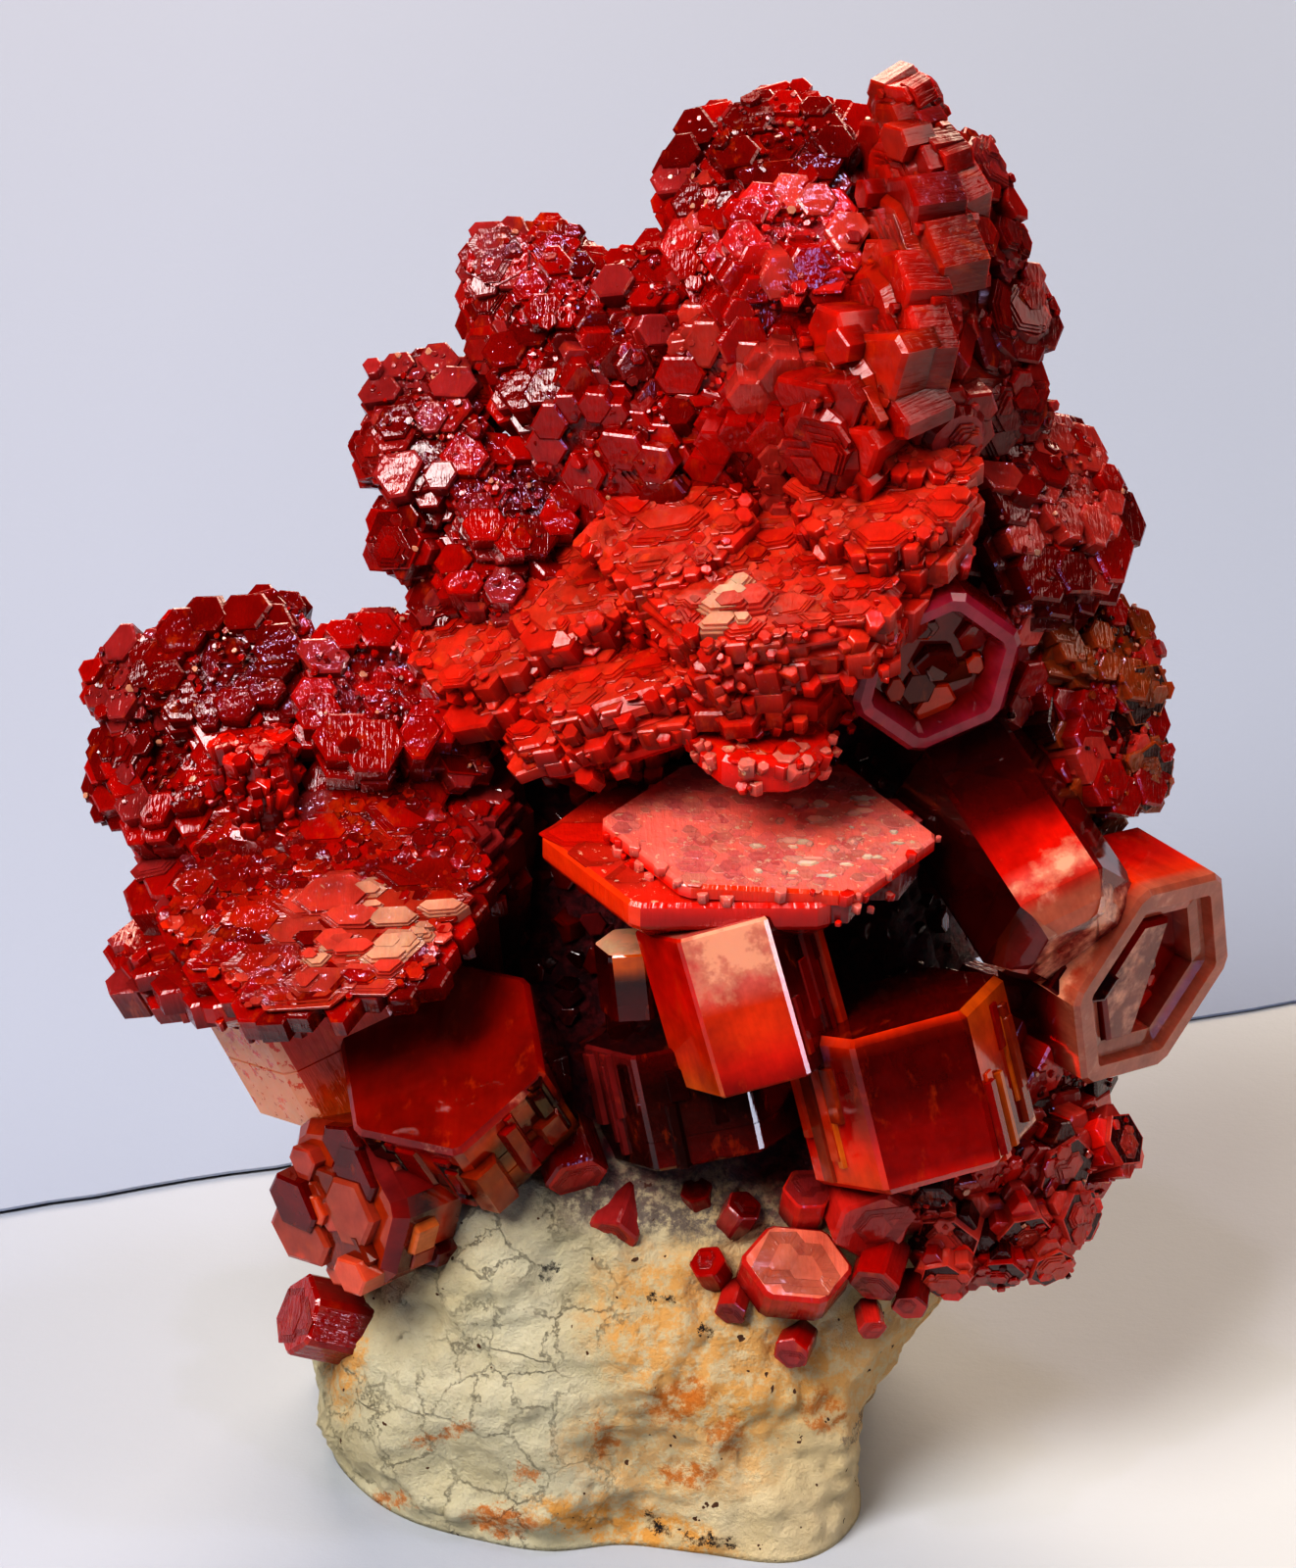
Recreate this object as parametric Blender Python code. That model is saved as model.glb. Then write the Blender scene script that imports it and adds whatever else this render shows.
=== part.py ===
"""A vanadinite specimen: dark red six-sided crystals on a pale clay rock that stands on a flat cut.

The crystals face forward and up. Each one is set out in a leaning face frame, in millimetres:
across to the right, up along the lean, and out towards the front. The face frame's origin is
FACE_HEIGHT above the middle of the base, and the frame leans back by LEAN.
The world origin is on the cut under the rock, +Z is up, and the crystals face -Y.
"""

import math
from collections import namedtuple

import bmesh
import bpy
import numpy as np
from mathutils import Matrix, Vector, noise

MM = 0.001
LEAN = math.radians(25)
FACE_HEIGHT = 28.8
GAP = 0.3
WORN_EDGE = 0.22
BIG_CRYSTAL = 3.5  # the radius from which a crystal's edges are worn
MOST_WIDE = 1.25  # no crystal's plan is stretched more than this
FIRST_CORNER = math.radians(-90)  # a cone's first corner is on +Y, and a crystal's is on its +X

# A collar's small crystals, as shares of the radius and height of the one that they ring.
COLLAR_SIZE = 0.42
COLLAR_SWAY = 0.16
COLLAR_REACH = 0.78
COLLAR_HEIGHT = 0.9
COLLAR_SINK = 0.12
COLLAR_TILT = math.radians(14)

# A crystal stands along an axis that leans by tip degrees from straight out, towards the
# direction `toward` in the face (0 right, 90 up). It is turned about that axis, and its plan
# is stretched by `wide`. A collar is a ring of smaller crystals round its outer end.
Crystal = namedtuple(
    "Crystal", "across up out radius height tip toward turn wide collar", defaults=(1.0, 0)
)

CRYSTALS = {
    "front_prism": [Crystal(3.8, -8.1, 5.0, 3.6, 6.8, 76, 106, 12)],
    "big_tablet": [
        Crystal(4.8, -2.4, 4.5, 5.6, 1.6, 60, 86, 58, 1.22),
        Crystal(3.2, -3.5, 3.2, 6.5, 3.6, 60, 90, 0, 1.17),
        Crystal(3.6, -2.4, 0.6, 4.6, 4.0, 62, 92, 10),
    ],
    "lens_crystal": [Crystal(4.6, 1.4, 6.2, 2.6, 1.5, 58, 88, 0, 1.12)],
    "small_prism": [Crystal(-0.6, -7.7, 3.0, 1.5, 3.0, 66, 96, 0)],
    "wide_prism": [Crystal(10.5, -11.9, 3.4, 4.7, 6.6, 77, 104, 18)],
    "dark_prism": [Crystal(2.1, -12.1, 0.6, 4.4, 4.9, 79, 102, 8)],
    "hollow_tablet": [Crystal(11.2, 5.0, 5.2, 3.8, 2.6, 36, 300, 22)],
    "right_block": [Crystal(14.9, -3.0, 2.4, 3.6, 9.6, 62, 302, 18)],
    "right_tablet": [Crystal(19.0, -7.0, -0.4, 5.2, 4.6, 56, 328, 56)],
    "central_mass": [
        Crystal(5.4, 8.2, 5.6, 6.5, 3.4, 50, 102, 10),
        Crystal(9.5, 10.5, 6.6, 3.7, 3.4, 46, 100, 20),
        Crystal(1.1, 9.4, 4.6, 3.5, 3.0, 48, 110, 6),
        Crystal(-0.8, 4.3, 3.6, 4.7, 3.2, 56, 112, 14),
        Crystal(-5.9, 5.1, 2.0, 3.2, 3.6, 50, 118, 24),
        Crystal(4.1, 4.7, 6.0, 3.2, 2.8, 48, 98, 8),
        Crystal(-2.8, 2.4, 3.4, 3.0, 2.0, 60, 108, 4),
        Crystal(10.5, 12.9, 5.8, 2.3, 3.4, 44, 80, 8),
        Crystal(-2.4, 6.9, 3.2, 2.8, 3.4, 46, 120, 16),
        Crystal(4.0, 6.0, 1.8, 5.4, 5.0, 40, 95, 20),
        Crystal(-2.0, 3.6, 0.6, 3.6, 5.0, 40, 100, 6),
    ],
    "crest": [
        Crystal(10.4, 27.2, 4.6, 1.2, 2.4, 62, 215, 20),
        Crystal(10.9, 24.4, 5.0, 2.4, 2.8, 66, 200, 5),
        Crystal(11.0, 21.5, 5.6, 2.8, 3.2, 70, 190, 15),
        Crystal(10.1, 18.3, 6.4, 2.9, 3.4, 66, 185, 0),
        Crystal(8.9, 15.6, 7.0, 3.0, 3.8, 60, 200, 12),
        Crystal(7.8, 14.0, 7.2, 2.3, 4.0, 52, 215, 24),
        Crystal(11.0, 17.7, 7.2, 1.4, 3.6, 40, 250, 4),
        Crystal(12.0, 22.1, 5.4, 1.7, 2.6, 52, 20, 8),
        Crystal(12.9, 24.6, 4.0, 1.3, 2.2, 56, 30, 18),
        Crystal(13.6, 21.7, 3.6, 1.3, 2.6, 60, 15, 0),
        Crystal(11.4, 14.6, 6.2, 1.7, 3.6, 48, 310, 16),
        Crystal(13.4, 18.5, 3.4, 2.4, 3.0, 58, 10, 10),
        Crystal(14.6, 18.8, 3.0, 1.6, 2.4, 40, 20, 6),
        Crystal(14.5, 15.3, 2.8, 1.3, 2.8, 42, 350, 22),
        Crystal(13.0, 15.0, 3.4, 2.0, 3.4, 50, 330, 0),
        Crystal(10.6, 17.0, 3.4, 3.4, 5.4, 40, 180, 12),
        Crystal(11.4, 21.6, 2.8, 2.4, 5.0, 44, 170, 4),
    ],
    "crown": [
        Crystal(3.5, 24.8, 2.0, 2.7, 2.2, 32, 130, 0, collar=4),
        Crystal(5.4, 26.9, 1.6, 1.3, 2.2, 38, 95, 20),
        Crystal(5.5, 25.1, 2.6, 2.5, 3.0, 34, 95, 8),
        Crystal(7.4, 25.6, 1.6, 2.0, 2.0, 34, 60, 24),
        Crystal(2.0, 23.1, 1.8, 1.4, 2.2, 40, 170, 6),
        Crystal(3.3, 21.3, 3.0, 2.1, 3.0, 30, 140, 14),
        Crystal(5.7, 21.1, 4.6, 2.6, 3.4, 24, 80, 20, collar=6),
        Crystal(5.4, 18.8, 5.2, 2.7, 3.2, 24, 300, 6, collar=5),
        Crystal(3.2, 16.5, 4.6, 2.1, 3.0, 30, 230, 12),
        Crystal(5.7, 15.7, 5.4, 2.3, 3.2, 36, 280, 26),
        Crystal(4.7, 13.5, 4.6, 2.6, 3.6, 46, 255, 4),
        Crystal(6.9, 13.3, 5.0, 2.4, 4.0, 44, 265, 18),
        Crystal(4.8, 22.4, 1.4, 3.0, 4.4, 26, 90, 0),
        Crystal(4.8, 17.4, 2.4, 3.2, 5.0, 20, 260, 14),
    ],
    "upper_left_finger": [
        Crystal(-5.9, 21.2, 0.8, 1.5, 1.8, 26, 120, 28),
        Crystal(-6.1, 19.5, 0.6, 1.4, 1.8, 30, 170, 4),
        Crystal(-4.0, 21.5, 0.6, 1.2, 2.2, 30, 80, 0),
        Crystal(-2.5, 20.6, 0.2, 1.1, 2.2, 42, 50, 10),
        Crystal(-3.5, 19.3, 1.4, 1.7, 3.4, 24, 90, 14, collar=5),
        Crystal(-6.1, 17.8, 1.0, 1.0, 2.2, 36, 190, 8),
        Crystal(-4.0, 16.5, 2.0, 2.0, 3.0, 30, 110, 20, collar=5),
        Crystal(-1.6, 16.4, 2.6, 2.2, 3.6, 34, 300, 6),
        Crystal(-2.0, 14.3, 2.6, 2.4, 3.4, 34, 250, 12),
        Crystal(0.2, 19.9, 1.6, 1.8, 3.2, 34, 95, 2),
        Crystal(0.1, 17.0, 3.0, 1.7, 3.0, 30, 350, 22),
        Crystal(-0.4, 12.6, 3.0, 2.3, 3.4, 36, 230, 8),
        Crystal(1.5, 15.0, 3.0, 2.0, 4.0, 40, 120, 8),
        Crystal(-4.0, 18.4, 0.0, 1.8, 2.6, 30, 100, 10),
        Crystal(-1.4, 16.8, 0.6, 2.6, 3.6, 24, 100, 24),
    ],
    "middle_finger": [
        Crystal(-9.2, 15.5, 0.6, 2.1, 2.2, 32, 110, 28, collar=4),
        Crystal(-10.4, 13.5, 0.4, 1.4, 2.2, 36, 160, 6),
        Crystal(-7.1, 15.8, 0.0, 1.4, 2.2, 40, 60, 0),
        Crystal(-8.6, 13.2, 1.2, 2.1, 3.0, 28, 120, 18),
        Crystal(-5.4, 11.1, 1.6, 2.5, 3.6, 26, 80, 10, collar=6),
        Crystal(-9.7, 10.0, 1.2, 1.4, 2.4, 34, 190, 2),
        Crystal(-6.4, 8.4, 2.0, 1.8, 2.6, 36, 100, 26),
        Crystal(-8.3, 7.2, 1.0, 1.2, 2.2, 38, 140, 14),
        Crystal(-3.4, 8.6, 1.0, 2.0, 3.6, 44, 60, 4),
        Crystal(-4.0, 6.4, 1.4, 2.5, 4.0, 44, 95, 20),
        Crystal(-7.6, 10.8, -0.2, 2.8, 3.2, 26, 120, 6),
        Crystal(-5.6, 7.8, -0.6, 2.6, 4.4, 36, 100, 16),
    ],
    "left_fan": [
        Crystal(-13.4, -5.6, 0.0, 8.2, 1.9, 63, 105, 8),
        Crystal(-13.5, -4.2, 0.6, 6.3, 2.4, 60, 104, 22),
        Crystal(-19.0, -7.3, -0.3, 2.6, 2.0, 50, 118, 10),
        Crystal(-18.3, -3.6, -0.4, 2.5, 2.2, 50, 120, 0),
        Crystal(-12.8, -8.9, -1.6, 5.2, 6.0, 66, 118, 24),
        Crystal(-17.1, 4.4, 0.2, 3.0, 2.6, 30, 110, 4, collar=5),
        Crystal(-15.6, 6.2, -0.6, 1.5, 2.4, 30, 95, 18),
        Crystal(-19.1, 5.3, -0.8, 1.4, 2.0, 34, 120, 0),
        Crystal(-21.2, 4.1, -1.2, 1.7, 2.2, 36, 140, 12),
        Crystal(-21.2, 1.1, -1.0, 1.5, 2.4, 38, 150, 0),
        Crystal(-21.3, -0.2, -1.4, 1.4, 2.4, 40, 165, 20),
        Crystal(-19.0, 0.4, -0.4, 2.8, 3.0, 35, 125, 10),
        Crystal(-10.8, 4.4, -1.4, 2.5, 2.0, 28, 85, 10),
        Crystal(-11.0, 3.0, 0.8, 3.3, 4.2, 28, 80, 16, collar=5),
        Crystal(-7.9, 1.2, 1.2, 1.4, 2.0, 34, 40, 0),
        Crystal(-15.6, 0.0, 2.2, 1.7, 4.0, 62, 96, 10),
        Crystal(-8.8, -1.6, 0.6, 2.8, 2.4, 52, 90, 5),
        Crystal(-14.6, 0.4, -1.6, 5.0, 4.0, 40, 108, 12),
        Crystal(-10.0, -2.4, -1.8, 4.4, 5.6, 50, 100, 26),
    ],
    "upper_right_rosette": [
        Crystal(15.8, 10.8, 1.0, 3.7, 3.6, 42, 20, 12, collar=6),
        Crystal(16.5, 11.6, 1.2, 2.4, 3.0, 44, 35, 0),
        Crystal(14.2, 12.3, 2.4, 1.9, 3.2, 46, 60, 20),
        Crystal(17.0, 9.3, 0.8, 1.9, 2.6, 40, 350, 6),
        Crystal(15.1, 8.0, 0.6, 2.0, 3.6, 46, 340, 24),
        Crystal(12.8, 10.2, -0.6, 3.4, 6.0, 60, 20, 8),
    ],
    "right_edge_rosette": [
        Crystal(17.1, 6.4, -1.4, 2.5, 3.0, 48, 30, 8, collar=4),
        Crystal(18.6, 5.3, -1.8, 1.9, 3.2, 46, 20, 20),
        Crystal(19.6, 3.8, -2.0, 1.4, 2.6, 44, 350, 4),
        Crystal(15.9, 3.4, -1.0, 2.5, 2.8, 40, 330, 0),
        Crystal(18.3, 1.6, -1.6, 2.7, 3.6, 46, 10, 14, collar=4),
        Crystal(19.8, 0.5, -2.0, 1.5, 2.6, 44, 345, 26),
        Crystal(17.3, 0.0, -1.8, 2.0, 4.0, 50, 300, 2),
        Crystal(14.6, 3.2, -3.0, 3.2, 6.6, 64, 10, 20),
    ],
    "lower_left_block": [Crystal(-7.6, -12.1, 2.2, 4.7, 5.2, 34, 120, 44)],
    "corner_crystal": [Crystal(-11.1, -16.5, 0.6, 3.9, 4.0, 48, 200, 4)],
    "left_side_crystal": [Crystal(-13.0, -22.2, -3.0, 1.8, 3.4, 62, 165, 14)],
    "leaning_crystal": [
        Crystal(8.8, -17.1, 2.0, 1.8, 2.6, 42, 290, 20),
        Crystal(9.4, -19.5, 1.8, 1.1, 2.2, 50, 250, 4),
    ],
    "slab_crystal": [Crystal(5.9, -19.8, 2.2, 2.0, 1.7, 36, 75, 56, 1.18)],
    "round_crystal": [Crystal(6.4, -16.9, 1.6, 1.1, 1.8, 40, 80, 4)],
    "pink_prism": [Crystal(3.6, -17.6, 1.4, 0.8, 1.8, 46, 60, 10)],
    "twin_crystal": [
        Crystal(2.6, -19.7, 1.6, 0.8, 1.4, 40, 120, 0),
        Crystal(3.5, -20.9, 1.6, 0.7, 1.6, 44, 250, 12),
    ],
    "square_crystal": [Crystal(2.1, -16.9, 0.9, 0.7, 1.4, 44, 110, 20)],
    "pair_crystal": [Crystal(10.7, -20.7, 1.0, 0.8, 1.6, 46, 260, 10)],
    "low_crystal": [Crystal(9.0, -21.7, 1.2, 0.6, 1.4, 42, 280, 0)],
    "dot_crystal": [Crystal(6.0, -22.7, 1.4, 0.8, 1.6, 34, 240, 18)],
    "dusky_crystal": [Crystal(-1.2, -17.6, 0.8, 1.2, 2.4, 50, 250, 8)],
    "corner_small_crystal": [Crystal(-3.2, -15.0, 1.4, 1.4, 2.6, 54, 290, 12)],
    "druse": [
        Crystal(13.6, -15.7, -1.0, 2.5, 4.4, 50, 300, 10),
        Crystal(18.6, -14.9, -1.6, 1.2, 2.8, 52, 20, 8),
        Crystal(16.1, -15.2, -0.6, 1.5, 3.4, 46, 330, 20),
        Crystal(15.0, -17.4, 0.2, 1.2, 2.8, 50, 290, 4),
        Crystal(12.5, -17.6, 0.4, 1.4, 3.0, 48, 250, 14),
        Crystal(16.8, -17.5, -0.6, 1.2, 2.8, 44, 350, 0),
        Crystal(16.1, -19.1, -0.4, 1.0, 2.2, 48, 300, 22),
        Crystal(14.4, -19.2, 0.0, 1.0, 2.2, 52, 270, 6),
        Crystal(12.1, -19.4, 0.6, 1.0, 2.4, 44, 260, 18),
        Crystal(10.7, -15.5, 1.2, 1.8, 4.0, 56, 260, 2),
        Crystal(15.6, -15.6, -2.6, 3.0, 4.4, 50, 330, 6),
        Crystal(14.0, -18.0, -1.4, 2.2, 3.4, 40, 290, 16),
        Crystal(15.4, -12.2, -3.2, 3.4, 5.0, 56, 330, 20),
    ],
    "back_druse": [
        Crystal(3.6, 17.4, -3.4, 2.2, 4.4, 116, 70, 8),
        Crystal(0.6, 14.6, -4.8, 2.0, 4.0, 122, 140, 20),
        Crystal(5.6, 14.2, -5.4, 2.4, 4.6, 124, 30, 14),
        Crystal(2.4, 11.6, -6.6, 2.9, 4.8, 128, 96, 2),
        Crystal(-1.4, 9.4, -6.2, 2.0, 4.2, 126, 160, 24),
        Crystal(6.8, 9.6, -6.8, 2.2, 4.4, 126, 20, 10),
        Crystal(3.2, 7.6, -8.4, 2.4, 4.2, 132, 280, 18),
        Crystal(0.0, 6.0, -8.2, 1.8, 3.8, 134, 210, 6),
    ],
}

# The rock in level slices: height, middle x and y, then the distance from the middle to the
# surface every 30 degrees, counterclockwise from +X.
ROCK_SLICES = [
    (0.0, -1, -1, (9.5, 11.5, 12.5, 13.0, 13.0, 12.5, 12.3, 13.2, 12.4, 11.0, 14.2, 11.5)),
    (4.0, -1, -1, (11.5, 12.5, 13.0, 13.0, 13.0, 12.8, 12.4, 13.2, 12.2, 10.8, 12.5, 12.0)),
    (8.0, -1, -1, (14.0, 13.5, 13.0, 12.5, 12.5, 12.3, 11.8, 12.0, 11.5, 10.3, 11.5, 13.2)),
    (11.0, -1, -1, (15.0, 14.0, 12.5, 12.0, 12.0, 11.8, 11.4, 11.2, 10.2, 8.8, 10.3, 13.5)),
    (14.0, 0, 0, (14.0, 13.5, 12.0, 11.5, 11.3, 11.4, 11.5, 10.8, 9.2, 8.1, 9.3, 12.2)),
    (16.5, 0, 1.5, (13.5, 12.5, 11.5, 10.0, 10.3, 10.6, 10.8, 10.0, 8.2, 7.2, 8.4, 11.4)),
    (19.0, 0, 3, (13.0, 12.0, 10.5, 9.0, 9.3, 9.8, 10.2, 9.0, 6.8, 5.5, 7.0, 10.6)),
    (22.0, 0, 4.5, (12.6, 11.0, 9.5, 8.0, 8.4, 9.2, 9.8, 8.0, 5.8, 4.8, 6.2, 10.0)),
    (28.0, 1, 6, (11.5, 9.5, 8.0, 7.0, 7.2, 7.8, 8.0, 6.5, 4.8, 4.2, 5.6, 9.0)),
    (34.5, 2, 6.5, (10.0, 8.2, 6.5, 5.5, 4.6, 4.0, 4.6, 5.2, 4.9, 4.7, 5.6, 8.0)),
    (40.0, 3, 7.5, (8.0, 7.0, 5.5, 4.6, 4.0, 3.4, 3.6, 4.0, 4.0, 3.8, 4.8, 6.8)),
    (45.0, 4, 9, (6.4, 5.5, 4.4, 3.8, 3.4, 3.0, 3.2, 3.2, 3.0, 3.0, 3.6, 5.0)),
    (49.0, 5, 9.5, (4.0, 3.6, 3.0, 2.6, 2.6, 2.4, 2.6, 2.4, 2.0, 2.0, 2.4, 3.4)),
]
ROCK_TOP = (5.2, 9.8, 50.6)
ROCK_AROUND = 24
ROCK_LEVELS = 18
ROCK_LUMPS = ((0.16, 0.9), (0.42, 0.35))  # (waves per mm, height in mm)

# Base colour and roughness of each kind of surface.
FINISHES = {
    "dark_red": ((0.22, 0.012, 0.010), 0.18),
    "bright_red": ((0.62, 0.035, 0.012), 0.30),
    "orange_red": ((0.48, 0.045, 0.010), 0.12),
    "pink_red": ((0.70, 0.10, 0.07), 0.35),
    "clay": ((0.52, 0.50, 0.40), 0.85),
}
FINISH_OF = {
    "central_mass": "bright_red",
    "crest": "bright_red",
    "big_tablet": "pink_red",
    "lens_crystal": "bright_red",
    "front_prism": "orange_red",
    "wide_prism": "orange_red",
    "right_tablet": "orange_red",
    "lower_left_block": "orange_red",
    "corner_crystal": "orange_red",
    "matrix": "clay",
}


def clear_scene():
    for obj in list(bpy.data.objects):
        bpy.data.objects.remove(obj, do_unlink=True)


def new_collection(name):
    collection = bpy.data.collections.new(name)
    bpy.context.scene.collection.children.link(collection)
    return collection


def finish(name):
    """The Principled material of one kind of surface, made once."""
    if name in bpy.data.materials:
        return bpy.data.materials[name]
    colour, roughness = FINISHES[name]
    material = bpy.data.materials.new(name)
    material.use_nodes = True
    shader = material.node_tree.nodes["Principled BSDF"]
    shader.inputs["Base Color"].default_value = (*colour, 1.0)
    shader.inputs["Roughness"].default_value = roughness
    shader.inputs["Metallic"].default_value = 0.0
    material.diffuse_color = (*colour, 1.0)
    return material


def face_frame():
    """The matrix from the leaning face frame, in millimetres, to the world, in metres."""
    up = Vector((0, math.sin(LEAN), math.cos(LEAN)))
    out = Vector((0, -math.cos(LEAN), math.sin(LEAN)))
    turn = Matrix(((1, 0, 0), up, out)).transposed().to_4x4()
    return Matrix.Scale(MM, 4) @ Matrix.Translation((0, 0, FACE_HEIGHT)) @ turn


def crystal_frame(crystal):
    """Where a crystal stands in the face frame: its local +Z is its axis."""
    tip, toward = math.radians(crystal.tip), math.radians(crystal.toward)
    axis = Vector(
        (math.sin(tip) * math.cos(toward), math.sin(tip) * math.sin(toward), math.cos(tip))
    )
    lean = Vector((0, 0, 1)).rotation_difference(axis).to_matrix().to_4x4()
    stretch = Matrix.Diagonal((crystal.wide, 1, 1, 1))
    turn = Matrix.Rotation(math.radians(crystal.turn) + FIRST_CORNER, 4, "Z")
    place = Matrix.Translation((crystal.across, crystal.up, crystal.out))
    return place @ lean @ stretch @ turn


def with_collars(crystals):
    """Each crystal, as (its own sizes, its frame), and the small ones that ring its outer end."""
    pieces = []
    for crystal in crystals:
        frame = crystal_frame(crystal)
        pieces.append((crystal.radius, crystal.height, frame))
        for index in range(crystal.collar):
            turn = Matrix.Rotation(2 * math.pi * (index + 0.5) / crystal.collar, 4, "Z")
            place = Matrix.Translation(
                (COLLAR_REACH * crystal.radius, 0, -COLLAR_SINK * crystal.height)
            )
            lean = Matrix.Rotation(COLLAR_TILT, 4, "Y")
            size = COLLAR_SIZE * (1 + COLLAR_SWAY * math.sin(2.4 * index + crystal.turn))
            height = COLLAR_HEIGHT * crystal.height
            pieces.append((size * crystal.radius, height, frame @ turn @ place @ lean))
    return pieces


def hexagon_mesh(name, radius, height, frame, grow=0.0):
    """A six-sided prism in its place, with worn edges when it is big, or grown by a gap."""
    bm = bmesh.new()
    bmesh.ops.create_cone(
        bm,
        cap_ends=True,
        segments=6,
        radius1=radius + grow / math.cos(math.pi / 6),
        radius2=radius + grow / math.cos(math.pi / 6),
        depth=height + 2 * grow,
    )
    if radius >= BIG_CRYSTAL and not grow:
        bmesh.ops.bevel(bm, geom=bm.edges[:], offset=WORN_EDGE, segments=1, affect="EDGES")
    bm.transform(face_frame() @ frame)
    mesh = bpy.data.meshes.new(name)
    bm.to_mesh(mesh)
    bm.free()
    return mesh


def helper(name, mesh, collection):
    """An object that only shapes another one."""
    obj = bpy.data.objects.new(name, mesh)
    obj.hide_render = True
    obj.display_type = "WIRE"
    collection.objects.link(obj)
    return obj


def boolean(obj, operation, collection):
    modifier = obj.modifiers.new(operation.lower(), "BOOLEAN")
    modifier.operation = operation
    modifier.operand_type = "COLLECTION"
    modifier.collection = collection
    modifier.solver = "EXACT"


def reach(pieces):
    """(middle, radius) in the face frame of a ball round each piece, stretched ones included."""
    return [
        (frame.translation, math.hypot(radius * MOST_WIDE, height / 2))
        for radius, height, frame in pieces
    ]


def near(balls, others):
    return any(
        (middle - other).length < size + other_size + GAP
        for middle, size in balls
        for other, other_size in others
    )


def keep_main_body(mesh):
    """Removes the loose chips that a cut leaves, and keeps the body with the most volume."""
    bm = bmesh.new()
    bm.from_mesh(mesh)
    waiting, islands = set(bm.faces), []
    while waiting:
        front = [waiting.pop()]
        island = list(front)
        while front:
            face = front.pop()
            for edge in face.edges:
                for other in edge.link_faces:
                    if other in waiting:
                        waiting.remove(other)
                        front.append(other)
                        island.append(other)
        islands.append(island)
    volumes = [
        abs(sum(face.calc_center_median().dot(face.normal) * face.calc_area() for face in island))
        for island in islands
    ]
    main = volumes.index(max(volumes))
    for index, island in enumerate(islands):
        if index != main:
            bmesh.ops.delete(bm, geom=island, context="FACES")
    bm.to_mesh(mesh)
    bm.free()


def settle(obj):
    """Applies the Booleans of an object, so that its mesh is the finished solid."""
    bpy.context.view_layer.update()
    graph = bpy.context.evaluated_depsgraph_get()
    mesh = bpy.data.meshes.new_from_object(obj.evaluated_get(graph))
    obj.modifiers.clear()
    old = obj.data
    obj.data = mesh
    bpy.data.meshes.remove(old)
    keep_main_body(mesh)


def grow_cluster(name, parts, earlier):
    """One node: its crystals joined in one solid, cut back a gap from those grown before it."""
    pieces = with_collars(CRYSTALS[name])
    first, *rest = pieces
    obj = bpy.data.objects.new(name, hexagon_mesh(name, *first))
    parts.objects.link(obj)
    obj.data.materials.append(finish(FINISH_OF.get(name, "dark_red")))
    if rest:
        joined = new_collection(f"{name}_joined")
        for index, piece in enumerate(rest):
            helper(f"{name}_joined_{index}", hexagon_mesh(name, *piece), joined)
        boolean(obj, "UNION", joined)
    balls = reach(pieces)
    close = [piece for piece in earlier if near(balls, reach([piece]))]
    if close:
        cut = new_collection(f"{name}_cut")
        for index, piece in enumerate(close):
            helper(f"{name}_cut_{index}", hexagon_mesh(name, *piece, grow=GAP), cut)
        boolean(obj, "DIFFERENCE", cut)
    settle(obj)
    return pieces


def through(values, places, count):
    """A smooth curve through values at places, read at count even steps (a monotone cubic)."""
    values, places = np.asarray(values, float), np.asarray(places, float)
    step = np.diff(places)[:, None]
    slope = np.diff(values, axis=0) / step
    bend = np.vstack([slope[:1], (slope[1:] + slope[:-1]) / 2, slope[-1:]])
    at = np.linspace(places[0], places[-1], count)
    left = np.clip(np.searchsorted(places, at, side="right") - 1, 0, len(places) - 2)
    span = step[left]
    t = ((at - places[left])[:, None]) / span
    return (
        (1 + 2 * t) * (1 - t) ** 2 * values[left]
        + t * (1 - t) ** 2 * span * bend[left]
        + t**2 * (3 - 2 * t) * values[left + 1]
        - t**2 * (1 - t) * span * bend[left + 1]
    )


def rock_rings():
    """Rings of points up the rock: the slices, smoothed upward and round, with lumps added."""
    heights = [slice_[0] for slice_ in ROCK_SLICES]
    rows = [[x, y, *reaches] for _, x, y, reaches in ROCK_SLICES]
    levels = through(rows, heights, ROCK_LEVELS)
    z_values = np.linspace(heights[0], heights[-1], ROCK_LEVELS)
    count = len(ROCK_SLICES[0][3])
    rings = []
    for z, (x, y, *reaches) in zip(z_values, levels):
        wrapped = [[r] for r in reaches[-2:] + reaches + reaches[:3]]
        places = np.arange(-2, count + 3)
        round_it = through(wrapped, places, (count + 4) * ROCK_AROUND // count + 1)[:, 0]
        start = 2 * ROCK_AROUND // count
        ring = []
        for k in range(ROCK_AROUND):
            angle = 2 * math.pi * k / ROCK_AROUND
            across, along = math.cos(angle), math.sin(angle)
            r = round_it[start + k]
            point = Vector((x + r * across, y + r * along, z))
            r += sum(size * noise.noise(point * waves) for waves, size in ROCK_LUMPS)
            ring.append((x + r * across, y + r * along, z))
        rings.append(ring)
    return rings


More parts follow.
